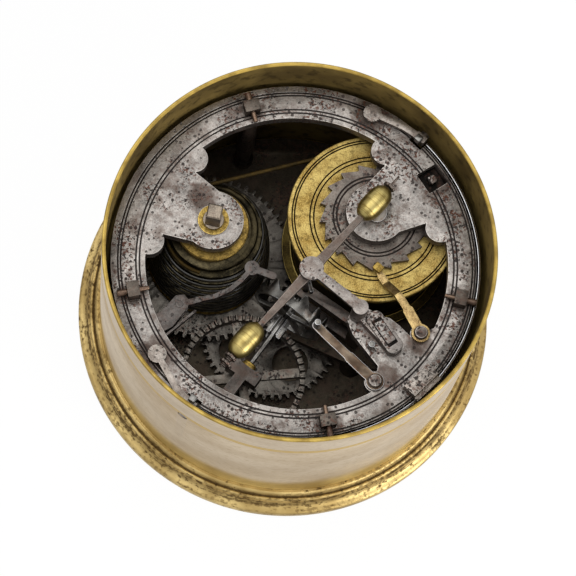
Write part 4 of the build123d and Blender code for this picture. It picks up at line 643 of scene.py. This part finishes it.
fusee_brass = aged_brass("fusee_brass", (166, 138, 74), (96, 78, 40), 4, 0.4)
fusee_dark = aged_brass("fusee_dark", (80, 72, 52), (34, 31, 24), 4, 0.26)
settle(fusee, "fusee_cone", fusee_dark)
settle(fusee_foot, "fusee_cone", fusee_brass)
settle(fusee_head, "fusee_cone", fusee_brass)
fusee_arbor = eased("fusee_arbor", 0.35)
square_foot = 57.5
square_turn = Matrix.Rotation(math.radians(30), 3, "Z")
axis = Vector((fusee_axis[0], fusee_axis[1], 0)) * mm
for vertex in fusee_arbor.data.vertices:
    if vertex.co.z > square_foot * mm:
        vertex.co = axis + square_turn @ (vertex.co - axis)
square_iron = iron("square_iron", (122, 112, 100), 0.5, 0.4)
settle(fusee_arbor, "fusee_arbor", square_iron)
for node in ("winding_ratchet", "winding_click", "winding_click_spring"):
    settle(eased(node, 0.08), node, shaded_arbor_steel)
settle(eased("great_wheel", 0.1), "great_wheel", shaded_wheel_iron)


# Gut line: wound on the fusee from its foot, one taut run to the barrel.
# It is dark with oil on the fusee and amber where it is stretched.
def gut(name, light, dark, rough=0.26, gloss=0.0):
    """Twisted gut with a fine lay; gloss is its share of metallic sheen."""
    coat = Finish(name)
    clouds = coat.noise(2.5, 3)
    lay = coat.noise(0.5, 2, (1, 1, 1.6), 3.0)
    colour = coat.mix((clouds * 0.5 + lay * 0.5).rise(0.3, 0.7), tint(*dark), tint(*light))
    return coat.metal(colour, rough + lay * 0.1, gloss, lay, 0.03)


def strand(name, points, radius):
    """A round line along a smooth spline through chosen or counted points, as a mesh."""
    line = bpy.data.curves.new(name, "CURVE")
    line.dimensions = "3D"
    line.bevel_depth = radius * mm
    line.bevel_resolution = 3
    line.resolution_u = 4
    line.use_fill_caps = True
    run = line.splines.new("NURBS")
    run.points.add(len(points) - 1)
    for spot, point in zip(points, run.points):
        point.co = (spot[0] * mm, spot[1] * mm, spot[2] * mm, 1)
    run.order_u = 3
    run.use_endpoint_u = True
    piece = bpy.data.objects.new(name, line)
    bpy.context.scene.collection.objects.link(piece)
    piece.select_set(True)
    bpy.context.view_layer.objects.active = piece
    bpy.ops.object.convert(target="MESH")
    piece = bpy.context.object
    bpy.ops.object.shade_smooth()
    piece.select_set(False)
    return piece


def wound(centre, radius_at, top, turns, start, steps=32):
    """Points of a coil that winds down from a height about an upright axis."""
    points = []
    for step in range(round(turns * steps) + 1):
        angle = math.radians(start + 360.0 * step / steps)
        height = top - line_pitch * step / steps
        radius = radius_at(height) / math.cos(math.pi / steps) ** 0.5
        points.append((
            centre[0] + radius * math.cos(angle), centre[1] + radius * math.sin(angle), height
        ))
    return points


line_radius = 0.62
line_lift = 0.82


def line_orbit(height):
    """Radius at which the middle of the line runs in the groove."""
    return ridge_radius(height) - groove_depth + line_lift


fusee_coil = strand(
    "line_on_fusee", wound(fusee_axis, line_orbit, line_top, line_turns, line_start), line_radius
)
settle(fusee_coil, "gut_line_on_fusee", gut("oiled_gut", (46, 42, 35), (20, 18, 15)))
barrel_orbit = 22.2
barrel_line_top = 45.4
barrel_turns = 1.25
barrel_start = 150.0
barrel_coil = strand(
    "line_on_barrel",
    wound(barrel_axis, lambda height: barrel_orbit, barrel_line_top, barrel_turns, barrel_start),
    line_radius,
)
amber_gut = gut("amber_gut", (70, 54, 20), (36, 28, 10), 0.6, 0.85)
settle(barrel_coil, "gut_line_on_barrel", amber_gut)
run_height = 47.9
run_gap = 0.2
run_fusee = line_orbit(run_height) + run_gap
run_barrel = barrel_orbit + run_gap
spacing = math.dist(fusee_axis, barrel_axis)
lean = math.atan2(barrel_axis[1] - fusee_axis[1], barrel_axis[0] - fusee_axis[0])
lean += math.pi / 2 + math.asin((run_barrel - run_fusee) / spacing)


def on_arc(centre, radius, angle):
    """A point of the line's run, about an axis."""
    return (
        centre[0] + radius * math.cos(angle), centre[1] + radius * math.sin(angle), run_height
    )


fusee_wrap = 150
barrel_wrap = 120
wrap_step = 10
run_points = [
    on_arc(fusee_axis, run_fusee, lean + math.radians(fusee_wrap - way))
    for way in range(0, fusee_wrap + 1, wrap_step)
]
run_points += [
    on_arc(barrel_axis, run_barrel, lean - math.radians(way))
    for way in range(0, barrel_wrap + 1, wrap_step)
]
settle(strand("line_run", run_points, line_radius), "gut_line_run", amber_gut)


# Second wheel: iron wheel and steel pinion, in a cock that is fixed to the front plate.
# Only its teeth catch the light, low in the movement.
settle(eased("second_wheel", 0.08), "second_wheel", shaded_wheel_iron)
settle(eased("second_pinion", 0.08), "second_pinion", shaded_arbor_steel)
settle(eased("second_wheel_cock"), "second_wheel_cock", shaded_deep_iron)


# Contrate wheel: its teeth stand up from the rim and drive the crown wheel's pinion.
# It is an iron wheel with four arms, on a steel arbor whose pinion has six leaves.
# Its iron is painted dark, as the shade deep in the movement.
shaded_train_iron = iron("shaded_train_iron", (82, 78, 72), 0.3, 0.8, rough=0.38)
settle(eased("contrate_wheel", 0.08), "contrate_wheel", shaded_train_iron)
settle(eased("contrate_pinion", 0.08), "contrate_pinion", shaded_arbor_steel)


# Crown wheel: it lies on its side between two potences. Its arbor and the leaves
# of its pinion are polished, and turn in a brass plug at the outer end.
polished = steel("polished_steel", (120, 118, 114), (58, 56, 53), 0.22, 0.3)
for node in ("crown_wheel", "crown_pinion"):
    settle(eased(node, 0.07), node, polished)
# The potences are painted dark, as the shade deep in the movement.
shaded_potence_iron = iron("shaded_potence_iron", (78, 73, 69), 0.5, 0.6)
for node in ("inner_potence", "outer_potence"):
    settle(eased(node, 0.25), node, shaded_potence_iron)
plug_brass = aged_brass("plug_brass", (166, 140, 74), (112, 90, 44), 2, 0.4)
settle(eased("potence_plug", 0.12), "potence_plug", plug_brass)
verge_axis = (4.3, -3.6)
crown_height = 44.0
crown_way = math.radians(248.5)
collar_bore = 0.9
collar_start = 26.9
collar_end = 28.5
collar_profile = [
    (collar_bore, collar_start), (1.7, collar_start), (2.0, collar_start + 0.3),
    (2.0, collar_end - 0.8), (2.3, collar_end - 0.6), (2.3, collar_end),
    (collar_bore, collar_end), (collar_bore, collar_start),
]
plug_collar = turned("plug_collar", (0, 0), collar_profile, 48, True)
plug_collar.data.transform(
    Matrix.Translation(Vector((*verge_axis, crown_height)) * mm)
    @ Matrix.Rotation(crown_way, 4, "Z") @ Matrix.Rotation(math.pi / 2, 4, "Y")
)
settle(plug_collar, "potence_plug", plug_brass)


# Back plate: an iron ring with three tongues, filed and engraved with double lines.
# Tapered pins through the pillars' square tenons hold it down.
pillar_circle = 47.0
pillar_angles = (120.0, 206.0, 294.0, 1.0)
round_tenons = []
for angle in pillar_angles:
    turn = math.radians(angle)
    round_tenons.append((pillar_circle * math.cos(turn), pillar_circle * math.sin(turn), 3.6))
# Spots that get a dark patch of painted shadow and rust: under the latches, on the lobes, round
# rivets and tenons.
under_latches = [(10.2, 48.1, 5.0), (-31.2, -36.5, 5.0)]
round_rivets = [(31.5, -26.0, 3.6), (38.4, -14.0, 3.6)]
on_lobes = [(33.8, 33.0, 3.5), (-30.5, 11.5, 4.0)]
shadow_and_rust_spots = under_latches + on_lobes + round_rivets + round_tenons
plate_iron = iron(
    "plate_iron", (137, 132, 127), 0.7, 1.0, (50.4, 49.6, 45.3, 44.3), rough=0.48, shadow_and_rust_spots=shadow_and_rust_spots
)
settle(eased("back_plate", 0.2), "back_plate", plate_iron)
settle(eased("fusee_bush", 0.12), "fusee_bush", plug_brass)
pin_iron = iron("pin_iron", (108, 90, 76), 0.8, 0.3)
settle(eased("pillar_pins", 0.1), "pillar_pins", pin_iron)


# Post in the square hole: the end of an iron stud, in a pocket whose black floor is painted shade.
# It is filed square, with rounded corners.
def filed_block(name, centre, size, angle, bottom, top, corner, edge=0.15):
    """A block filed from bar: round upright corners and eased edges, turned in plan."""
    bpy.ops.mesh.primitive_cube_add(size=1.0)
    piece = bpy.context.object
    piece.name = name
    for vertex in piece.data.vertices:
        vertex.co *= mm
        vertex.co.x *= size[0]
        vertex.co.y *= size[1]
        vertex.co.z *= top - bottom
    bpy.ops.object.mode_set(mode="EDIT")
    bpy.ops.mesh.select_all(action="DESELECT")
    bpy.ops.object.mode_set(mode="OBJECT")
    for line in piece.data.edges:
        low, high = (piece.data.vertices[index].co for index in line.vertices)
        line.select = abs(low.z - high.z) > 0.01 * mm
    bpy.ops.object.mode_set(mode="EDIT")
    bpy.ops.mesh.select_mode(type="EDGE")
    bpy.ops.mesh.bevel(offset=corner * mm, segments=6, affect="EDGES")
    bpy.ops.object.mode_set(mode="OBJECT")
    easing = piece.modifiers.new("easing", "BEVEL")
    easing.width = edge * mm
    easing.segments = 2
    easing.limit_method = "ANGLE"
    easing.angle_limit = math.radians(40)
    bpy.ops.object.modifier_apply(modifier="easing")
    spot = Vector((centre[0], centre[1], (bottom + top) / 2)) * mm
    piece.data.transform(
        Matrix.Translation(spot) @ Matrix.Rotation(math.radians(angle), 4, "Z")
    )
    bpy.ops.object.shade_smooth_by_angle(angle=math.radians(40))
    piece.select_set(False)
    return piece


hole_angle = 47.3
hole_centre = (31.43, 34.06)
# Near-black iron that stands for the shade in holes and slots.
shade_black_iron = iron("shade_black_iron", (24, 22, 20), 0.3, 0.4, rough=0.6)
for name, size, low, high, corner, finish in (
    ("pocket_floor", 6.44, 53.5, 54.0, 0.3, shade_black_iron),
    ("pocket_post", 2.3, 54.0, 56.3, 0.6, plate_iron),
):
    piece = filed_block(name, hole_centre, (size, size), hole_angle, low, high, corner)
    piece.data.materials.append(finish)
    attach(piece, "frame")


# Set-up click: a springy strip of brass, riveted to the plate, bent down to the ratchet.
# Its head is a small brass block that drops between two teeth.
strip_brass = aged_brass("strip_brass", (176, 152, 104), (104, 82, 54), 3, 0.32)
settle(eased("setup_click", 0.12), "setup_click", strip_brass)
click_way = 153.0
click_middle = (22.6, 5.3)
click_low = 52.8
click_high = 54.1
click_head = filed_block(
    "click_head", click_middle, (2.6, 2.3), click_way, click_low, click_high, 0.3
)
settle(click_head, "setup_click", plug_brass)
settle(eased("click_rivet", 0.15), "click_rivet", plate_iron)


# Regulator: a steel strip that turns on its rivet in the back plate.
# Its upright pin stops the foliot's swing.
strip_steel = steel("strip_steel", (112, 100, 86), (62, 50, 40), 0.26, 0.7)
settle(eased("regulator_lever", 0.12), "regulator_lever", strip_steel)
settle(eased("regulator_pin", 0.15), "regulator_pin", polished)
settle(eased("regulator_rivet", 0.15), "regulator_rivet", plate_iron)


# Fusee stop: an iron block below the ring, a blade that reaches round the fusee,
# and a small spring bar.
stop_iron = iron("stop_iron", (78, 74, 71), 0.35, 0.8)
for node in ("stop_block", "stop_lever", "stop_pin", "stop_spring"):
    settle(eased(node, 0.15), node, stop_iron)


# Foliot: a forged bar on the verge, with a turned gilt weight on each arm.
# Nuts on the threaded ends hold the weights where the clock keeps time.
foliot_angle = math.radians(62.4)
foliot_height = 63.0
settle(eased("verge", 0.07), "verge", polished)
foliot_iron = iron("foliot_iron", (90, 82, 76), 0.5, 0.5)
foliot_bar = eased("foliot_bar", 0.4)
bar_way = Vector((math.cos(foliot_angle), math.sin(foliot_angle), 0))
bar_root = 4.2
bar_end = 37.0
root_share = 0.85
taper = 0.43
bar_middle = Vector((verge_axis[0], verge_axis[1], foliot_height)) * mm
for vertex in foliot_bar.data.vertices:
    offset = vertex.co - bar_middle
    along = offset.dot(bar_way)
    if abs(along) > bar_root * mm:
        share = root_share - taper * (abs(along) / mm - bar_root) / (bar_end - bar_root)
        vertex.co = bar_middle + bar_way * along + (offset - bar_way * along) * share
settle(foliot_bar, "foliot_bar", foliot_iron)


def on_foliot(piece, distance):
    """Lays a piece that was made upright at the origin along the bar, at a distance."""
    turn = Matrix.Rotation(foliot_angle, 4, "Z") @ Matrix.Rotation(math.pi / 2, 4, "Y")
    spot = Vector((
        verge_axis[0] + distance * math.cos(foliot_angle),
        verge_axis[1] + distance * math.sin(foliot_angle), foliot_height,
    ))
    piece.data.transform(Matrix.Translation(spot * mm) @ turn)
    return piece


def weight_gilt(name):
    """Gilt brass left from the lathe: fine turned rings, rubbed bright."""
    coat = Finish(name)
    along = coat.x * math.cos(foliot_angle) + coat.y * math.sin(foliot_angle)
    rings = coat.node(
        "ShaderNodeTexNoise", {"noise_dimensions": "1D"},
        {"W": along, "Scale": 3.2, "Detail": 2.0},
    )
    clouds = coat.noise(3, 3)
    colour = coat.mix(clouds.rise(0.3, 0.7), tint(122, 106, 60), tint(174, 158, 100))
    colour = coat.mix(rings.rise(0.56, 0.66) * 0.55, colour, tint(96, 72, 26))
    return coat.metal(colour, 0.3 + rings * 0.15, 1.0, rings, 0.03)


weight_distance = 27.1
weight_half = 5.6
weight_radius = 3.4
weight_bore = 1.3
end_round = 0.12
weight_profile = [
    (weight_bore, -weight_half), (weight_bore + 0.2, -weight_half),
    (weight_bore + 0.4, -weight_half + end_round),
]
for step in range(1, 20):
    height = (weight_half - end_round) * (step / 10 - 1)
    share = height / weight_half
    radius = weight_radius * (1 - 0.5 * share ** 4) * (1 - 0.05 * share ** 2)
    weight_profile.append((radius, height))
weight_profile += [(radius, -height) for radius, height in reversed(weight_profile[:3])]
gilt_weight = weight_gilt("weight_gilt")
for number, distance in enumerate((weight_distance, -weight_distance)):
    weight = on_foliot(turned(f"weight_{number}", (0, 0), weight_profile, 64), distance)
    settle(weight, "foliot_weights", gilt_weight)


def notched_nut(name, distance, teeth=9):
    """A thin round nut with filed notches, for a finger nail to turn."""
    profile = [(0.8, -0.5), (1.6, -0.5), (1.85, -0.3), (1.85, 0.3), (1.6, 0.5), (0.8, 0.5)]
    nut = turned(name, (0, 0), profile, teeth * 6)
    for vertex in nut.data.vertices:
        angle = math.atan2(vertex.co.y, vertex.co.x)
        reach = math.hypot(vertex.co.x, vertex.co.y)
        if reach > 1.4 * mm:
            share = 1 - 0.16 * max(0.0, math.cos(angle * teeth)) ** 0.5
            vertex.co.x *= share
            vertex.co.y *= share
    return on_foliot(nut, distance)


nut_places = (-35.8, -33.6, 33.6)
for number, distance in enumerate(nut_places):
    settle(notched_nut(f"nut_{number}", distance), "foliot_nuts", foliot_iron)

thread_radius = 0.85
thread_pitch = 0.55
thread_turns = 8
thread_steps = 12
thread_points = []
for step in range(thread_turns * thread_steps + 1):
    angle = 2 * math.pi * step / thread_steps
    height = thread_pitch * (step / thread_steps - thread_turns / 2)
    thread_points.append((thread_radius * math.cos(angle), thread_radius * math.sin(angle), height))
thread = on_foliot(strand("foliot_thread", thread_points, 0.22), -35.0)
settle(thread, "foliot_nuts", foliot_iron)

loop_points = [(0.0, 0.0, -1.6), (0.5, 0.1, -0.4), (0.9, 0.2, 0.7), (0.7, 0.0, 1.7)]
loop_points += [(0.0, 0.0, 2.1), (-0.7, 0.0, 1.7), (-0.9, -0.2, 0.7), (-0.5, -0.1, -0.4)]
loop_points += [(0.1, 0.0, -1.5)]
loop = on_foliot(strand("foliot_loop", loop_points, 0.3), 35.6)
settle(loop, "foliot_nuts", foliot_iron)


# Cock: it carries the verge's top pivot. Its shield-shaped foot stands on the plate's
# tongue, held by a steady pin and by a wedge in a small tablet.
cock_iron = iron("cock_iron", (128, 122, 117), 0.5, 0.9)
settle(eased("balance_cock", 0.25), "balance_cock", cock_iron)
tablet_angle = -42.0
tablet_middle = (28.4, -14.7)
# The black plate round the wedge is painted shade in its slot.
for name, size, low, high, corner, edge, finish in (
    ("cock_tablet", (13.4, 5.0), 59.6, 60.7, 1.9, 0.25, cock_iron),
    ("wedge_slot_shade", (8.8, 3.2), 60.3, 60.76, 0.3, 0.02, shade_black_iron),
    ("wedge", (6.9, 2.7), 60.3, 61.2, 0.3, 0.15, plate_iron),
):
    piece = filed_block(name, tablet_middle, size, tablet_angle, low, high, corner, edge)
    settle(piece, "cock_wedge", finish)
settle(eased("cock_steady_pin", 0.1), "cock_steady_pin", polished)


# Latches: two spring leaves from one lug press the bolts through the case wall.
# Finger pieces draw them back, to let the movement out.
latch_iron = iron("latch_iron", (134, 127, 120), 0.4, 0.7)
leaf_steel = steel("leaf_steel", (84, 82, 80), (44, 42, 40), 0.22, 0.3)
settle(eased("latch_springs", 0.15), "latch_springs", leaf_steel)
for node in ("latch_lug", "latch_left", "latch_right"):
    settle(eased(node, 0.35), node, latch_iron)
post_reach = 50.2
post_low = 58.0
post_high = 60.6
for node, angle in latch_angles.items():
    post_way = Vector((math.cos(math.radians(angle)), math.sin(math.radians(angle)), 0))
    post_middle = (post_way * post_reach)[:2]
    post = filed_block(
        node + "_post", post_middle, (2.1, 2.1), angle, post_low, post_high, 0.5, 0.3
    )
    settle(post, node, polished)


# Table, light and camera. The table is white paper that keeps the clock's shadow.
# A wide soft lamp hangs above the clock, and a small one stands low at its right.
def seen_directly(shading):
    """1 where the camera, a mirror or glass sees a surface directly, and 0 elsewhere."""
    seen = shading.node("ShaderNodeLightPath", output="Is Camera Ray")
    for ray in ("Is Glossy Ray", "Is Transmission Ray"):
        seen = shading.maths("MAXIMUM", seen, shading.node("ShaderNodeLightPath", output=ray))
    return seen


white = (1, 1, 1, 1)
table_size = 4.0
table_drop = 0.0002
bpy.ops.mesh.primitive_plane_add(size=table_size, location=(0, 0, -table_drop))
table = bpy.context.object
table.name = "table"
white_paper = bpy.data.materials.new("white_paper")
paper = Shading(white_paper)
diffuse = paper.node("ShaderNodeBsdfDiffuse", None, {"Color": (0.92, 0.92, 0.92, 1)})
glow = paper.node("ShaderNodeEmission", None, {"Color": white})
blend = paper.node(
    "ShaderNodeMixShader", None, {0: seen_directly(paper) * 0.96, 1: diffuse, 2: glow}
)
paper.node("ShaderNodeOutputMaterial", None, {"Surface": blend})
table.data.materials.append(white_paper)
table.select_set(False)

world = bpy.data.worlds.new("studio")
bpy.context.scene.world = world
studio = Shading(world)
room = studio.node("ShaderNodeBackground", None, {"Color": white, "Strength": 0.55})
backdrop = studio.node("ShaderNodeBackground", None, {"Color": white, "Strength": 1.0})
sky = studio.node("ShaderNodeMixShader", None, {0: seen_directly(studio), 1: room, 2: backdrop})
studio.node("ShaderNodeOutputWorld", None, {"Surface": sky})


def soft_lamp(name, spot, target, size, power):
    """A square soft box at a spot, turned to a target."""
    lamp = bpy.data.lights.new(name, "AREA")
    lamp.size = size
    lamp.energy = power
    holder = bpy.data.objects.new(name, lamp)
    holder.location = spot
    holder.rotation_euler = (Vector(target) - Vector(spot)).to_track_quat("-Z", "Y").to_euler()
    bpy.context.scene.collection.objects.link(holder)


lamp_target = (0, 0, 0.05)
soft_lamp("key_lamp", (-0.18, 0.12, 0.88), lamp_target, 0.8, 4.1)
soft_lamp("fill_lamp", (0.6, -0.35, 0.3), lamp_target, 0.45, 4.6)

# The camera stands where the photograph was taken from: nearly above the clock, turned
# by the roll that puts its right side low.
photo_width = 576.0
focal_pixels = 2707.0
camera_distance = 13.6 * case_radius
tilt = math.radians(16.85)
roll = math.radians(14.45)
right = Vector((math.cos(roll), math.sin(roll) * math.cos(tilt), math.sin(roll) * math.sin(tilt)))
down = Vector((math.sin(roll), -math.cos(roll) * math.cos(tilt), -math.cos(roll) * math.sin(tilt)))
ahead = Vector((0, math.sin(tilt), -math.cos(tilt)))
aside_by = 0.0648 * case_radius
down_by = -0.2021 * case_radius
eye = Vector((0, 0, case_top)) - right * aside_by - down * down_by - ahead * camera_distance
camera = bpy.data.cameras.new("photo_camera")
camera.sensor_width = 36.0
camera.lens = focal_pixels / photo_width * camera.sensor_width
camera.clip_start = 0.05
camera.clip_end = 20.0
stand = bpy.data.objects.new("photo_camera", camera)
bpy.context.scene.collection.objects.link(stand)
turn = Matrix((right, -down, -ahead)).transposed().to_4x4()
stand.matrix_world = Matrix.Translation(eye * mm) @ turn
bpy.context.scene.camera = stand
bpy.context.scene.view_settings.view_transform = "Standard"
